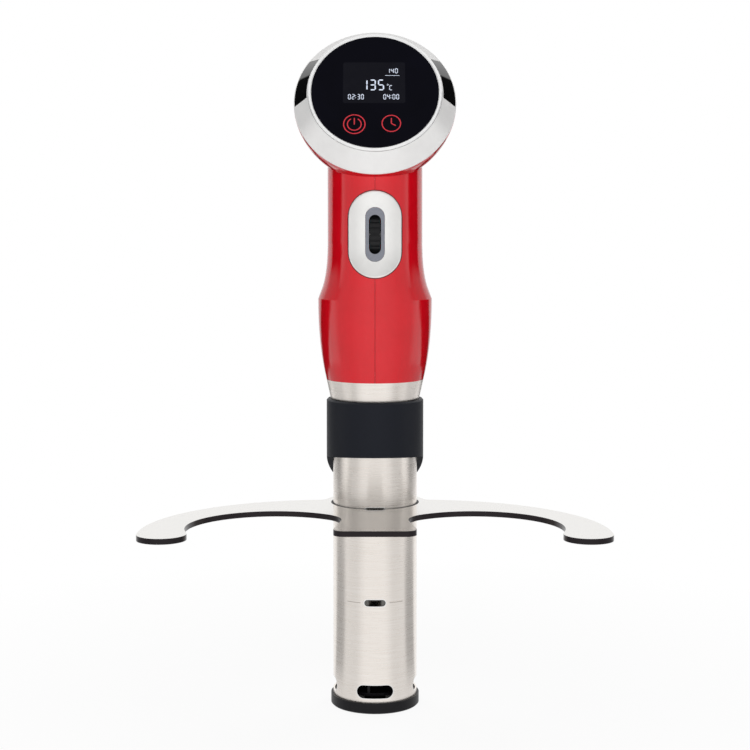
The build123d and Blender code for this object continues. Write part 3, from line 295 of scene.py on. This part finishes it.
def flatten_front(material, low_mm, high_mm, fade_mm):
    """Let the front mirror as if it stood upright between two heights, where polishing flattened its slope."""
    tree = material.node_tree
    bump = next(node for node in tree.nodes if node.type == "BUMP")
    spot = add_node(tree, "ShaderNodeNewGeometry")
    height = add_node(tree, "ShaderNodeSeparateXYZ", links={"Vector": spot.outputs["Position"]})
    facing = add_node(tree, "ShaderNodeSeparateXYZ", links={"Vector": spot.outputs["Normal"]})
    shares = [
        add_node(
            tree,
            "ShaderNodeMapRange",
            {"From Min": start, "From Max": end},
            {"Value": socket},
            interpolation_type="SMOOTHSTEP",
        )
        for socket, start, end in (
            (height.outputs["Z"], (low_mm - fade_mm) * MM, low_mm * MM),
            (height.outputs["Z"], (high_mm + fade_mm) * MM, high_mm * MM),
            (facing.outputs["Y"], FRONT_START, FRONT_WHOLE),
        )
    ]
    band = add_node(
        tree,
        "ShaderNodeMath",
        links={0: shares[0].outputs["Result"], 1: shares[1].outputs["Result"]},
        operation="MULTIPLY",
    )
    share = add_node(
        tree,
        "ShaderNodeMath",
        links={0: band.outputs["Value"], 1: shares[2].outputs["Result"]},
        operation="MULTIPLY",
    )
    upright = add_node(
        tree, "ShaderNodeVectorMath", {1: (1, 1, 0)}, {0: spot.outputs["Normal"]}, operation="MULTIPLY"
    )
    turned = add_node(
        tree,
        "ShaderNodeMix",
        links={"Factor": share.outputs["Value"], "A": spot.outputs["Normal"], "B": upright.outputs["Vector"]},
        data_type="VECTOR",
    )
    flat = add_node(tree, "ShaderNodeVectorMath", links={0: turned.outputs["Result"]}, operation="NORMALIZE")
    tree.links.new(flat.outputs["Vector"], bump.inputs["Normal"])


flatten_front(red_abs, low_mm=226, high_mm=262, fade_mm=8)

NODE_MATERIALS = {
    red_abs: ("handle_shell_left", "handle_shell_right"),
    silver_lacquer: ("head_bezel",),
    silver_plate: ("wheel_bezel",),
    bright_plate: ("trim_ring",),
    black_gloss_abs: ("bezel_insert_left", "bezel_insert_right"),
    dark_glass: ("face_glass",),
    display_panel: ("display_module",),
    green_board: ("display_board", "power_board"),
    black_silicone: ("touch_pads", "cord_gland", "jaw_pad", "lever_pad", "rack_grommet", "shaft_seal"),
    grey_abs: ("wheel_surround",),
    black_abs: ("base_cap", "wheel_carrier", "encoder", "power_components", "cooling_fan", "impeller"),
    black_rubber: ("thumb_wheel",),
    bright_steel: (
        "wheel_axle",
        "hinge_pin",
        "torsion_spring",
        "drive_shaft",
        "motor_shaft",
        "temperature_probe",
        "level_electrodes",
    ),
    annealed_sheath: ("heating_element",),
    raw_aluminium: ("heatsink", "shaft_coupling"),
    brushed_tube: ("steel_sleeve", "shoulder_ring"),
    sintered_bronze: ("lower_bush", "upper_bush"),
    pale_polymer: ("bulkhead", "motor_bracket"),
    plated_steel: ("motor_can",),
    black_nylon: ("clamp_collar", "clip_lever"),
    satin_plate: ("bottle_rack",),
}
for material, names in NODE_MATERIALS.items():
    for node_name in names:
        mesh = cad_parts[node_name].data
        mesh.materials.clear()
        mesh.materials.append(material)


# Thin pieces laid on the face, the handle and the tube


def finish_mesh(shape, name):
    """Mesh of a finished shape, its faces turned outward."""
    bmesh.ops.recalc_face_normals(shape, faces=shape.faces)
    mesh = bpy.data.meshes.new(name)
    shape.to_mesh(mesh)
    shape.free()
    return mesh


def add_piece(name, mesh, material, body):
    """Link a finished mesh as a piece that moves with a body."""
    mesh.materials.append(material)
    piece = bpy.data.objects.new(name, mesh)
    scene.collection.objects.link(piece)
    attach(piece, body)


def face_point(across, up, out):
    """Place on the face, in metres, from millimetres across, up and out of the glass's front."""
    return (FACE_CENTRE + Vector((across, 0, 0)) + FACE_UP * up + FACE_NORMAL * out) * MM


def tube_point(across, height, out, turn):
    """Place on the tube, in metres, from millimetres across a view of it that is turned round its axis."""
    angle = radians(turn) + asin(across / TUBE_R)
    reach = TUBE_R + out
    return Vector((reach * sin(angle), -reach * cos(angle), height)) * MM


def plates_on_face(outlines, low, high, name):
    """Thin plates on the face, each from its outline of points across and up, in millimetres."""
    shape = bmesh.new()
    for outline in outlines:
        front = [shape.verts.new(face_point(x, y, high)) for x, y in outline]
        back = [shape.verts.new(face_point(x, y, low)) for x, y in outline]
        shape.faces.new(front)
        shape.faces.new(reversed(back))
        for i in range(len(outline)):
            j = (i + 1) % len(outline)
            shape.faces.new((front[j], front[i], back[i], back[j]))
    return finish_mesh(shape, name)


def add_band(shape, rungs, closed):
    """Add a thin band to a shape from its rungs, each the low and high place of one edge, then of the other."""
    corners = [[shape.verts.new(place) for place in rung] for rung in rungs]
    steps = len(rungs) if closed else len(rungs) - 1
    for i in range(steps):
        a_low, a_high, b_low, b_high = corners[i]
        c_low, c_high, d_low, d_high = corners[(i + 1) % len(rungs)]
        shape.faces.new((a_high, b_high, d_high, c_high))
        shape.faces.new((a_low, c_low, d_low, b_low))
        shape.faces.new((a_low, a_high, c_high, c_low))
        shape.faces.new((b_low, d_low, d_high, b_high))
    if not closed:
        for a_low, a_high, b_low, b_high in (corners[0], corners[-1]):
            shape.faces.new((a_low, b_low, b_high, a_high))


def bands_on_tube(bands, low, high, name):
    """Thin bands on the tube, each from a turn, pairs of points across it and whether it closes on itself."""
    shape = bmesh.new()
    for turn, pairs, closed in bands:
        rungs = [[tube_point(*point, out, turn) for point in pair for out in (low, high)] for pair in pairs]
        add_band(shape, rungs, closed)
    return finish_mesh(shape, name)


def arc_points(centre, radius, start, end, steps):
    """Points on an arc between two angles in degrees."""
    turns = [radians(start + (end - start) * i / steps) for i in range(steps + 1)]
    return [(centre[0] + radius * cos(t), centre[1] + radius * sin(t)) for t in turns]


def ring_outline(centre, radius, width, start, end, steps):
    """Outline of part of a ring, from its outer radius and its width."""
    outside = arc_points(centre, radius, start, end, steps)
    inside = arc_points(centre, radius - width, start, end, steps)
    return outside + inside[::-1]


def bar(start, end, width):
    """Outline of a straight bar between two points."""
    a, b = Vector(start), Vector(end)
    side = Vector((a.y - b.y, b.x - a.x)).normalized() * (width / 2)
    return [tuple(a - side), tuple(b - side), tuple(b + side), tuple(a + side)]


# Lit segments of each sign: top, upper right, lower right, bottom, lower left, upper left, middle
SIGNS = {
    "0": (1, 1, 1, 1, 1, 1, 0),
    "1": (0, 1, 1, 0, 0, 0, 0),
    "2": (1, 1, 0, 1, 1, 0, 1),
    "3": (1, 1, 1, 1, 0, 0, 1),
    "4": (0, 1, 1, 0, 0, 1, 1),
    "5": (1, 0, 1, 1, 0, 1, 1),
    "C": (1, 0, 0, 1, 1, 1, 0),
}
SEGMENT_GAP = 0.15  # at each end of a segment, as a share of its stroke
COLON_RISES = (0.3, 0.7)  # heights of a colon's dots, as shares of the sign's height


def sign_outlines(sign, left, bottom, width, height, stroke):
    """Outlines of a seven-segment sign, its segments pointed at both ends."""
    half = stroke / 2
    x0, x1 = left + half, left + width - half
    y0, y1, y2 = bottom + half, bottom + height / 2, bottom + height - half
    ends = (
        ((x0, y2), (x1, y2)),
        ((x1, y2), (x1, y1)),
        ((x1, y1), (x1, y0)),
        ((x0, y0), (x1, y0)),
        ((x0, y0), (x0, y1)),
        ((x0, y1), (x0, y2)),
        ((x0, y1), (x1, y1)),
    )
    outlines = []
    for lit, (start, end) in zip(SIGNS[sign], ends):
        if lit:
            along = (Vector(end) - Vector(start)).normalized()
            side = Vector((-along.y, along.x)) * half
            a = Vector(start) + along * (SEGMENT_GAP * stroke)
            b = Vector(end) - along * (SEGMENT_GAP * stroke)
            inner_a, inner_b = a + along * half, b - along * half
            corners = (a, inner_a - side, inner_b - side, b, inner_b + side, inner_a + side)
            outlines.append([tuple(corner) for corner in corners])
    return outlines


def number_outlines(text, left, bottom, width, height, stroke, gap):
    """Outlines of a row of signs; a colon takes a narrow place."""
    outlines = []
    for sign in text:
        if sign == ":":
            for rise in COLON_RISES:
                y = bottom + rise * height
                outlines.append(bar((left, y - stroke / 2), (left, y + stroke / 2), stroke))
            left += stroke + gap
        else:
            outlines += sign_outlines(sign, left, bottom, width, height, stroke)
            left += width + gap
    return outlines


# Display, in millimetres from the middle of the glass: a window with a large reading, a smaller set value above
# it and two times below
WINDOW_LEFT, WINDOW_RIGHT = -17.8, 16.8
WINDOW_BOTTOM, WINDOW_TOP = -7.4, 18.8
WINDOW_CORNER_R = 1.2
WINDOW_CORNER_STEPS = 4
# Left and bottom of each number
READING_PLACE = (-7.6, 0.7)
UNIT_PLACE = (7.9, 0.8)
SET_VALUE_PLACE = (6.6, 11.7)
LEFT_TIME_PLACE = (-15.0, -5.1)
RIGHT_TIME_PLACE = (4.6, -5.1)
# Width, height and stroke of a sign, and the gap to the next one
READING_SIGNS = (3.5, 7.0, 0.75, 1.1)
UNIT_SIGN = (1.9, 3.2, 0.42)
SET_VALUE_SIGNS = (1.7, 3.2, 0.42, 0.55)
TIME_SIGNS = (1.6, 3.4, 0.4, 0.5)
DEGREE_RING = {"centre": (7.1, 4.3), "radius": 0.5, "width": 0.25, "start": 0, "end": 350, "steps": 12}
SET_VALUE_RULE = {"start": (5.6, 10.3), "end": (13.6, 10.3), "width": 0.25}
# Back and front of the plates, out of the glass
WINDOW_LEVELS = (0.005, 0.02)
DIGIT_LEVELS = (0.02, 0.04)
MARK_LEVELS = (0.005, 0.03)

window_corners = (
    (WINDOW_RIGHT - WINDOW_CORNER_R, WINDOW_TOP - WINDOW_CORNER_R),
    (WINDOW_LEFT + WINDOW_CORNER_R, WINDOW_TOP - WINDOW_CORNER_R),
    (WINDOW_LEFT + WINDOW_CORNER_R, WINDOW_BOTTOM + WINDOW_CORNER_R),
    (WINDOW_RIGHT - WINDOW_CORNER_R, WINDOW_BOTTOM + WINDOW_CORNER_R),
)
window_outline = []
for quarter, corner in enumerate(window_corners):
    window_outline += arc_points(
        corner, WINDOW_CORNER_R, 90 * quarter, 90 * (quarter + 1), WINDOW_CORNER_STEPS
    )
add_piece(
    "display_window",
    plates_on_face([window_outline], *WINDOW_LEVELS, "display_window"),
    display_panel,
    "housing",
)
digit_outlines = (
    number_outlines("135", *READING_PLACE, *READING_SIGNS)
    + [ring_outline(**DEGREE_RING)]
    + sign_outlines("C", *UNIT_PLACE, *UNIT_SIGN)
    + number_outlines("140", *SET_VALUE_PLACE, *SET_VALUE_SIGNS)
    + [bar(**SET_VALUE_RULE)]
    + number_outlines("02:30", *LEFT_TIME_PLACE, *TIME_SIGNS)
    + number_outlines("04:00", *RIGHT_TIME_PLACE, *TIME_SIGNS)
)
add_piece(
    "display_digits",
    plates_on_face(digit_outlines, *DIGIT_LEVELS, "display_digits"),
    lit_segments,
    "housing",
)

# Touch marks: a power sign in a ring, and a clock
POWER_X, POWER_Y = -11.4, -20.8
POWER_RING_R = 6.2
POWER_ARC_R = 4.1
POWER_BAR_WIDTH = 0.65
CLOCK_X, CLOCK_Y = 9.0, -20.3
CLOCK_R = 5.4
MARK_STROKE = 0.6
touch_outlines = [
    ring_outline((POWER_X, POWER_Y), POWER_RING_R, MARK_STROKE, 90, 449, 48),
    ring_outline((POWER_X, POWER_Y), POWER_ARC_R, MARK_STROKE, 120, 420, 36),
    bar((POWER_X, POWER_Y - 0.2), (POWER_X, POWER_Y + 3.9), POWER_BAR_WIDTH),
    ring_outline((CLOCK_X, CLOCK_Y), CLOCK_R, MARK_STROKE, 90, 449, 44),
    bar((CLOCK_X, CLOCK_Y), (CLOCK_X, CLOCK_Y + 3.3), MARK_STROKE),
    bar((CLOCK_X, CLOCK_Y), (CLOCK_X + 2.4, CLOCK_Y - 1.4), MARK_STROKE),
]
add_piece(
    "touch_marks",
    plates_on_face(touch_outlines, *MARK_LEVELS, "touch_marks"),
    lit_red_marks,
    "housing",
)


# Gasket in the front seam, below and above the wheel, sunk under the handle's surface
HANDLE_Z = 187.5
GASKET_HALF_WIDTH = 0.08
GASKET_SUNK = 0.7
GASKET_DEPTH = 1.4
# Height above the handle's foot and depth of its front there, in millimetres
LOWER_SEAM = ((0.3, 27.8), (13.8, 28.5), (32.2, 28.9), (46.0, 28.8), (53.0, 28.2), (60.3, 27.7))
UPPER_SEAM = ((105.8, 27.0), (116.2, 27.0))


def seam_gasket(runs):
    """Thin cord that follows the handle's front down the seam."""
    shape = bmesh.new()
    for run in runs:
        sections = []
        for height, depth in run:
            front_y = GASKET_SUNK - depth
            corners = ((-1, front_y), (1, front_y), (1, front_y + GASKET_DEPTH), (-1, front_y + GASKET_DEPTH))
            sections.append(
                [
                    shape.verts.new(Vector((side * GASKET_HALF_WIDTH, y, HANDLE_Z + height)) * MM)
                    for side, y in corners
                ]
            )
        for below, above in zip(sections, sections[1:]):
            for i in range(4):
                j = (i + 1) % 4
                shape.faces.new((below[i], below[j], above[j], above[i]))
        shape.faces.new(sections[0])
        shape.faces.new(sections[-1])
    return finish_mesh(shape, "seam_gasket")


add_piece("seam_gasket", seam_gasket((LOWER_SEAM, UPPER_SEAM)), black_silicone, "housing")

# Painted shadow of the gap round the wheel's bezel: a thin dark silicone band laid on the handle's front, in
# millimetres
WHEEL_Z = 270.4
WHEEL_BEZEL_R = 14.8
WHEEL_BEZEL_STRAIGHT = 9.45
GAP_SHADOW_WIDTH = 0.45
GAP_SHADOW_SUNK = 0.3
GAP_SHADOW_PROUD = 0.04
GAP_SHADOW_STEPS = 21
SIGHT_START_Y = -60.0  # in front of the handle


def handle_front(across, height):
    """Place on the handle's front, in metres, from millimetres across and up."""
    start = Vector((across, SIGHT_START_Y, height)) * MM
    hits = []
    for side in ("left", "right"):
        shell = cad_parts["handle_shell_" + side]
        inward = shell.matrix_world.inverted()
        found, place, _, _ = shell.ray_cast(inward @ start, inward.to_3x3() @ Vector((0, 1, 0)))
        if found:
            hits.append(shell.matrix_world @ place)
    return min(hits, key=lambda place: place.y)


def wheel_outline(radius):
    """Points round the wheel's bezel, none of them on the seam."""
    top = arc_points((0, WHEEL_Z + WHEEL_BEZEL_STRAIGHT), radius, 0, 180, GAP_SHADOW_STEPS)
    bottom = arc_points((0, WHEEL_Z - WHEEL_BEZEL_STRAIGHT), radius, 180, 360, GAP_SHADOW_STEPS)
    return top + bottom


gap_shadow_rungs = [
    [
        handle_front(*point) + Vector((0, shift, 0)) * MM
        for point in pair
        for shift in (GAP_SHADOW_SUNK, -GAP_SHADOW_PROUD)
    ]
    for pair in zip(wheel_outline(WHEEL_BEZEL_R), wheel_outline(WHEEL_BEZEL_R + GAP_SHADOW_WIDTH))
]
gap_shadow_shape = bmesh.new()
add_band(gap_shadow_shape, gap_shadow_rungs, closed=True)
# Painted gap shadow: a dark band put on the red round the bezel, where there is only the shade of the gap
add_piece("wheel_gap_shadow", finish_mesh(gap_shadow_shape, "wheel_gap_shadow"), black_silicone, "housing")

# Buffed edge round each opening of the tube, and a level line on each side of the level slots, in millimetres
EDGE_WIDTH = 0.45
EDGE_LEVELS = (0.002, 0.03)
LINE_INNER_X = 8.2
LINE_OUTER_X = 15.6
LINE_HALF_HEIGHT = 0.22
LINE_LEVELS = (0.002, 0.012)
LINE_STEPS = 10
ROUND_STEPS = 12
STRAIGHT_STEPS = 8


def obround_points(size, height):
    """Points round an obround opening, counted the same for every size so that two of them pair up."""
    straight = (size[0] - size[1]) / 2
    radius = size[1] / 2
    right = arc_points((straight, height), radius, -90, 90, ROUND_STEPS)
    left = arc_points((-straight, height), radius, 90, 270, ROUND_STEPS)
    shares = [i / STRAIGHT_STEPS for i in range(1, STRAIGHT_STEPS)]
    top = [(straight * (1 - 2 * share), height + radius) for share in shares]
    bottom = [(straight * (2 * share - 1), height - radius) for share in shares]
    return right + top + left + bottom


def edge_band(size, height, turn):
    """Band round one opening of the tube."""
    grown = [side + 2 * EDGE_WIDTH for side in size]
    return (turn, list(zip(obround_points(size, height), obround_points(grown, height))), True)


def line_band(height, start, end):
    """Straight level line along the tube's front."""
    places = [start + (end - start) * i / LINE_STEPS for i in range(LINE_STEPS + 1)]
    pairs = [((x, height - LINE_HALF_HEIGHT), (x, height + LINE_HALF_HEIGHT)) for x in places]
    return (0, pairs, False)


edge_bands = [edge_band(OUTLET_SIZE, OUTLET_Z, turn) for turn in OUTLET_TURNS]
edge_bands += [edge_band(SLOT_SIZE, level, 0) for level in SLOT_LEVELS]
add_piece(
    "opening_edges",
    bands_on_tube(edge_bands, *EDGE_LEVELS, "opening_edges"),
    buffed_edge,
    "housing",
)
line_bands = []
for level in SLOT_LEVELS:
    line_bands.append(line_band(level, -LINE_OUTER_X, -LINE_INNER_X))
    line_bands.append(line_band(level, LINE_INNER_X, LINE_OUTER_X))
add_piece(
    "level_lines",
    bands_on_tube(line_bands, *LINE_LEVELS, "level_lines"),
    etched_steel,
    "housing",
)

# The clip's spring, whose coils twist between a leg that stays on the collar and a leg that goes with the lever,
# copied whole into a mesh of its own; the CAD node is hidden.
spring_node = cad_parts["torsion_spring"]
spring_mesh = spring_node.data.copy()
spring_mesh.transform(spring_node.matrix_world)
spring_wire = bpy.data.objects.new("spring_wire", spring_mesh)
scene.collection.objects.link(spring_wire)
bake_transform(spring_wire)
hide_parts("torsion_spring")


# Studio

scene.view_settings.view_transform = "Standard"

CAMERA_SENSOR_MM = 36.0
CAMERA_LENS_MM = 77.32
CAMERA_SHIFT = -0.1
CAMERA_PLACE = (0, -0.920, 0.280)
CAMERA_PITCH = radians(2.948)  # downward
camera_data = bpy.data.cameras.new("photo_camera")
camera_data.sensor_width = CAMERA_SENSOR_MM
camera_data.lens = CAMERA_LENS_MM
camera_data.shift_y = CAMERA_SHIFT
camera = bpy.data.objects.new("photo_camera", camera_data)
camera.location = CAMERA_PLACE
camera.rotation_euler = (pi / 2 - CAMERA_PITCH, 0, 0)
scene.collection.objects.link(camera)
scene.camera = camera


LIGHT_TARGET = Vector((0, 0, 0.2))


def soft_box(name, place, width, height, power):
    """Rectangular soft light that looks at the middle of the object and isn't itself mirrored."""
    data = bpy.data.lights.new(name, "AREA")
    data.shape = "RECTANGLE"
    data.size = width
    data.size_y = height
    data.energy = power
    light = bpy.data.objects.new(name, data)
    light.location = place
    light.rotation_euler = (LIGHT_TARGET - Vector(place)).to_track_quat("-Z", "Y").to_euler()
    light.visible_glossy = False
    scene.collection.objects.link(light)


soft_box("front_box", place=(0, -1.5, 0.5), width=1.2, height=1.2, power=17.5)
soft_box("back_left_box", place=(-1.0, 1.2, 0.9), width=0.8, height=1.2, power=8)
soft_box("back_right_box", place=(1.0, 1.2, 0.9), width=0.8, height=1.2, power=8)

# Levels of the studio in a gloss, where 1 is white, and of its even light on everything else
WHITE = 1.0
TABLE_LEVEL = 1.0
ROOM_LEVEL = 0.42
OVERHEAD_LEVEL = 0.95
FLAG_LEVEL = 0.02
NEAR_PAPER_LEVEL = 0.95
PAPER_LEVEL = 0.76
FELT_LEVEL = 0.4
FILL_LEVEL = 0.2


def grey(level):
    """Neutral linear colour."""
    return (level, level, level, 1.0)


def sight_share(tree):
    """Socket that is 1 for rays that look at the studio: from the camera, a gloss or a clear piece."""
    path = add_node(tree, "ShaderNodeLightPath")
    gloss = add_node(
        tree,
        "ShaderNodeMath",
        links={0: path.outputs["Is Camera Ray"], 1: path.outputs["Is Glossy Ray"]},
        operation="MAXIMUM",
    )
    sight = add_node(
        tree,
        "ShaderNodeMath",
        links={0: gloss.outputs["Value"], 1: path.outputs["Is Transmission Ray"]},
        operation="MAXIMUM",
    )
    return sight.outputs["Value"]


world = bpy.data.worlds.new("white_studio")
scene.world = world
world.use_nodes = True
sky = world.node_tree
sky.nodes.clear()
direction = add_node(sky, "ShaderNodeTexCoord")
rise = add_node(sky, "ShaderNodeSeparateXYZ", links={"Vector": direction.outputs["Generated"]})
level_direction = add_node(
    sky,
    "ShaderNodeVectorMath",
    {1: (1, 1, 0)},
    {0: direction.outputs["Generated"]},
    operation="MULTIPLY",
)
heading = add_node(
    sky, "ShaderNodeVectorMath", links={0: level_direction.outputs["Vector"]}, operation="NORMALIZE"
)
heading_parts = add_node(sky, "ShaderNodeSeparateXYZ", links={"Vector": heading.outputs["Vector"]})
# Share of the turn from the front, 0, to the back, 1
turn_share = add_node(
    sky, "ShaderNodeMapRange", {"From Min": -1.0, "From Max": 1.0}, {"Value": heading_parts.outputs["Y"]}
)
# Share of the climb from straight down, 0, to straight up, 1
climb_share = add_node(
    sky, "ShaderNodeMapRange", {"From Min": -1.0, "From Max": 1.0}, {"Value": rise.outputs["Z"]}
)
# In a gloss from the front: a bright table below, a dim room, a soft box overhead
front_level = add_node(sky, "ShaderNodeValToRGB", links={"Fac": climb_share.outputs["Result"]})
set_ramp(
    front_level,
    (
        (0.515, grey(TABLE_LEVEL)),
        (0.55, grey(ROOM_LEVEL)),
        (0.72, grey(ROOM_LEVEL)),
        (0.78, grey(OVERHEAD_LEVEL)),
        (1.0, grey(OVERHEAD_LEVEL)),
    ),
)
# The front is brightest in the middle, and pale walls stand at the sides
front_turn = add_node(sky, "ShaderNodeValToRGB", links={"Fac": turn_share.outputs["Result"]})
set_ramp(front_turn, ((0.06, grey(1.0)), (0.16, grey(0.8)), (0.36, grey(0.8)), (0.46, grey(1.3))))
front = add_node(
    sky,
    "ShaderNodeMixRGB",
    {"Fac": 1.0},
    {"Color1": front_level.outputs["Color"], "Color2": front_turn.outputs["Color"]},
    blend_type="MULTIPLY",
)
# White backdrop behind the object
behind = add_node(sky, "ShaderNodeValToRGB", links={"Fac": turn_share.outputs["Result"]})
set_ramp(behind, ((0.78, grey(0)), (0.83, grey(1))))
open_studio = add_node(
    sky,
    "ShaderNodeMixRGB",
    {"Color2": grey(WHITE)},
    {"Fac": behind.outputs["Color"], "Color1": front.outputs["Color"]},
)
# A low dark flag on each side, cut away below towards the front: its edge goes back by this share of a fall
FLAG_CUT = 1.16
drop = add_node(sky, "ShaderNodeMath", {1: 0.0}, {0: rise.outputs["Z"]}, operation="MINIMUM")
cut = add_node(sky, "ShaderNodeMath", {1: FLAG_CUT}, {0: drop.outputs["Value"]}, operation="MULTIPLY")
cut_turn = add_node(
    sky,
    "ShaderNodeMath",
    links={0: turn_share.outputs["Result"], 1: cut.outputs["Value"]},
    operation="ADD",
)
flag_side = add_node(sky, "ShaderNodeValToRGB", links={"Fac": cut_turn.outputs["Value"]})
set_ramp(flag_side, ((0.46, grey(0)), (0.5, grey(1)), (0.78, grey(1)), (0.82, grey(0))))
flag_top = add_node(sky, "ShaderNodeValToRGB", links={"Fac": climb_share.outputs["Result"]})
set_ramp(flag_top, ((0.53, grey(1)), (0.56, grey(0))))
low_flag = add_node(
    sky,
    "ShaderNodeMath",
    links={0: flag_side.outputs["Color"], 1: flag_top.outputs["Color"]},
    operation="MULTIPLY",
)
# A dark flag above it, far back, for mirror-smooth pieces alone
panel_side = add_node(sky, "ShaderNodeValToRGB", links={"Fac": turn_share.outputs["Result"]})
set_ramp(panel_side, ((0.62, grey(0)), (0.66, grey(1)), (0.872, grey(1)), (0.882, grey(0))))
panel_climb = add_node(sky, "ShaderNodeValToRGB", links={"Fac": climb_share.outputs["Result"]})
set_ramp(panel_climb, ((0.58, grey(0)), (0.62, grey(1)), (0.76, grey(1)), (0.8, grey(0))))
panel = add_node(
    sky,
    "ShaderNodeMath",
    links={0: panel_side.outputs["Color"], 1: panel_climb.outputs["Color"]},
    operation="MULTIPLY",
)
sky_path = add_node(sky, "ShaderNodeLightPath")
high_flag = add_node(
    sky,
    "ShaderNodeMath",
    links={0: panel.outputs["Value"], 1: sky_path.outputs["Is Singular Ray"]},
    operation="MULTIPLY",
)
flag_share = add_node(
    sky,
    "ShaderNodeMath",
    links={0: low_flag.outputs["Value"], 1: high_flag.outputs["Value"]},
    operation="MAXIMUM",
)
mirrored = add_node(
    sky,
    "ShaderNodeMixRGB",
    {"Color2": grey(FLAG_LEVEL)},
    {"Fac": flag_share.outputs["Value"], "Color1": open_studio.outputs["Color"]},
)
looked_at = add_node(
    sky,
    "ShaderNodeMixRGB",
    {"Color2": grey(WHITE)},
    {"Fac": sky_path.outputs["Is Camera Ray"], "Color1": mirrored.outputs["Color"]},
)
studio = add_node(
    sky,
    "ShaderNodeMixRGB",
    {"Color1": grey(FILL_LEVEL)},
    {"Fac": sight_share(sky), "Color2": looked_at.outputs["Color"]},
)
backdrop = add_node(sky, "ShaderNodeBackground", {"Strength": 1.0}, {"Color": studio.outputs["Color"]})
add_node(sky, "ShaderNodeOutputWorld", links={"Surface": backdrop.outputs["Background"]})

# White paper floor, in metres: it keeps the shadow near the object and turns pure white further out
FLOOR_REACH = 0.85
FLOOR_DROP = 0.0003
FLOOR_SIDES = 64
SHADOW_REACH = 0.1
SHADOW_END = 0.4
SHADOW_WHITENESS = 0.92
floor_mesh = bpy.data.meshes.new("white_floor")
last_side = 360 - 360 / FLOOR_SIDES
floor_rim = [
    (x, y, -FLOOR_DROP) for x, y in arc_points((0, 0), FLOOR_REACH, 0, last_side, FLOOR_SIDES - 1)
]
floor_mesh.from_pydata(floor_rim, [], [tuple(range(len(floor_rim)))])
floor = bpy.data.objects.new("white_floor", floor_mesh)
scene.collection.objects.link(floor)
floor_material = bpy.data.materials.new("white_paper")
floor_material.use_nodes = True
paper = floor_material.node_tree
paper.nodes.clear()
spot = add_node(paper, "ShaderNodeNewGeometry")
distance = add_node(paper, "ShaderNodeVectorMath", links={0: spot.outputs["Position"]}, operation="LENGTH")
whiteness = add_node(
    paper,
    "ShaderNodeMapRange",
    {"From Min": SHADOW_REACH, "From Max": SHADOW_END, "To Min": SHADOW_WHITENESS, "To Max": 1.0},
    {"Value": distance.outputs["Value"]},
)
glow_share = add_node(
    paper,
    "ShaderNodeMath",
    links={0: sight_share(paper), 1: whiteness.outputs["Result"]},
    operation="MULTIPLY",
)
# In a gloss the paper is greyer away from the front's middle, and grey felt lies on each side of the object
bearing = add_node(paper, "ShaderNodeVectorMath", links={0: spot.outputs["Position"]}, operation="NORMALIZE")
bearing_parts = add_node(paper, "ShaderNodeSeparateXYZ", links={"Vector": bearing.outputs["Vector"]})
paper_turn = add_node(
    paper, "ShaderNodeMapRange", {"From Min": -1.0, "From Max": 1.0}, {"Value": bearing_parts.outputs["Y"]}
)
open_paper = add_node(paper, "ShaderNodeValToRGB", links={"Fac": paper_turn.outputs["Result"]})
set_ramp(
    open_paper,
    (
        (0.06, grey(NEAR_PAPER_LEVEL)),
        (0.16, grey(PAPER_LEVEL)),
        (0.78, grey(PAPER_LEVEL)),
        (0.82, grey(NEAR_PAPER_LEVEL)),
    ),
)
felt_side = add_node(paper, "ShaderNodeValToRGB", links={"Fac": paper_turn.outputs["Result"]})
set_ramp(felt_side, ((0.46, grey(0)), (0.5, grey(1)), (0.78, grey(1)), (0.82, grey(0))))
felt_reach = add_node(paper, "ShaderNodeValToRGB", links={"Fac": distance.outputs["Value"]})
set_ramp(felt_reach, ((0.07, grey(0)), (0.1, grey(1)), (0.42, grey(1)), (0.55, grey(0))))
felt_share = add_node(
    paper,
    "ShaderNodeMath",
    links={0: felt_side.outputs["Color"], 1: felt_reach.outputs["Color"]},
    operation="MULTIPLY",
)
mirrored_paper = add_node(
    paper,
    "ShaderNodeMixRGB",
    {"Color2": grey(FELT_LEVEL)},
    {"Fac": felt_share.outputs["Value"], "Color1": open_paper.outputs["Color"]},
)
paper_path = add_node(paper, "ShaderNodeLightPath")
seen_paper = add_node(
    paper,
    "ShaderNodeMixRGB",
    {"Color2": grey(WHITE)},
    {"Fac": paper_path.outputs["Is Camera Ray"], "Color1": mirrored_paper.outputs["Color"]},
)
matt = add_node(paper, "ShaderNodeBsdfDiffuse", {"Color": linear("F6F6F6")})
glow = add_node(paper, "ShaderNodeEmission", {"Strength": 1.0}, {"Color": seen_paper.outputs["Color"]})
floor_surface = add_node(
    paper,
    "ShaderNodeMixShader",
    links={"Fac": glow_share.outputs["Value"], 1: matt.outputs["BSDF"], 2: glow.outputs["Emission"]},
)
add_node(paper, "ShaderNodeOutputMaterial", links={"Surface": floor_surface.outputs["Shader"]})
floor_mesh.materials.append(floor_material)
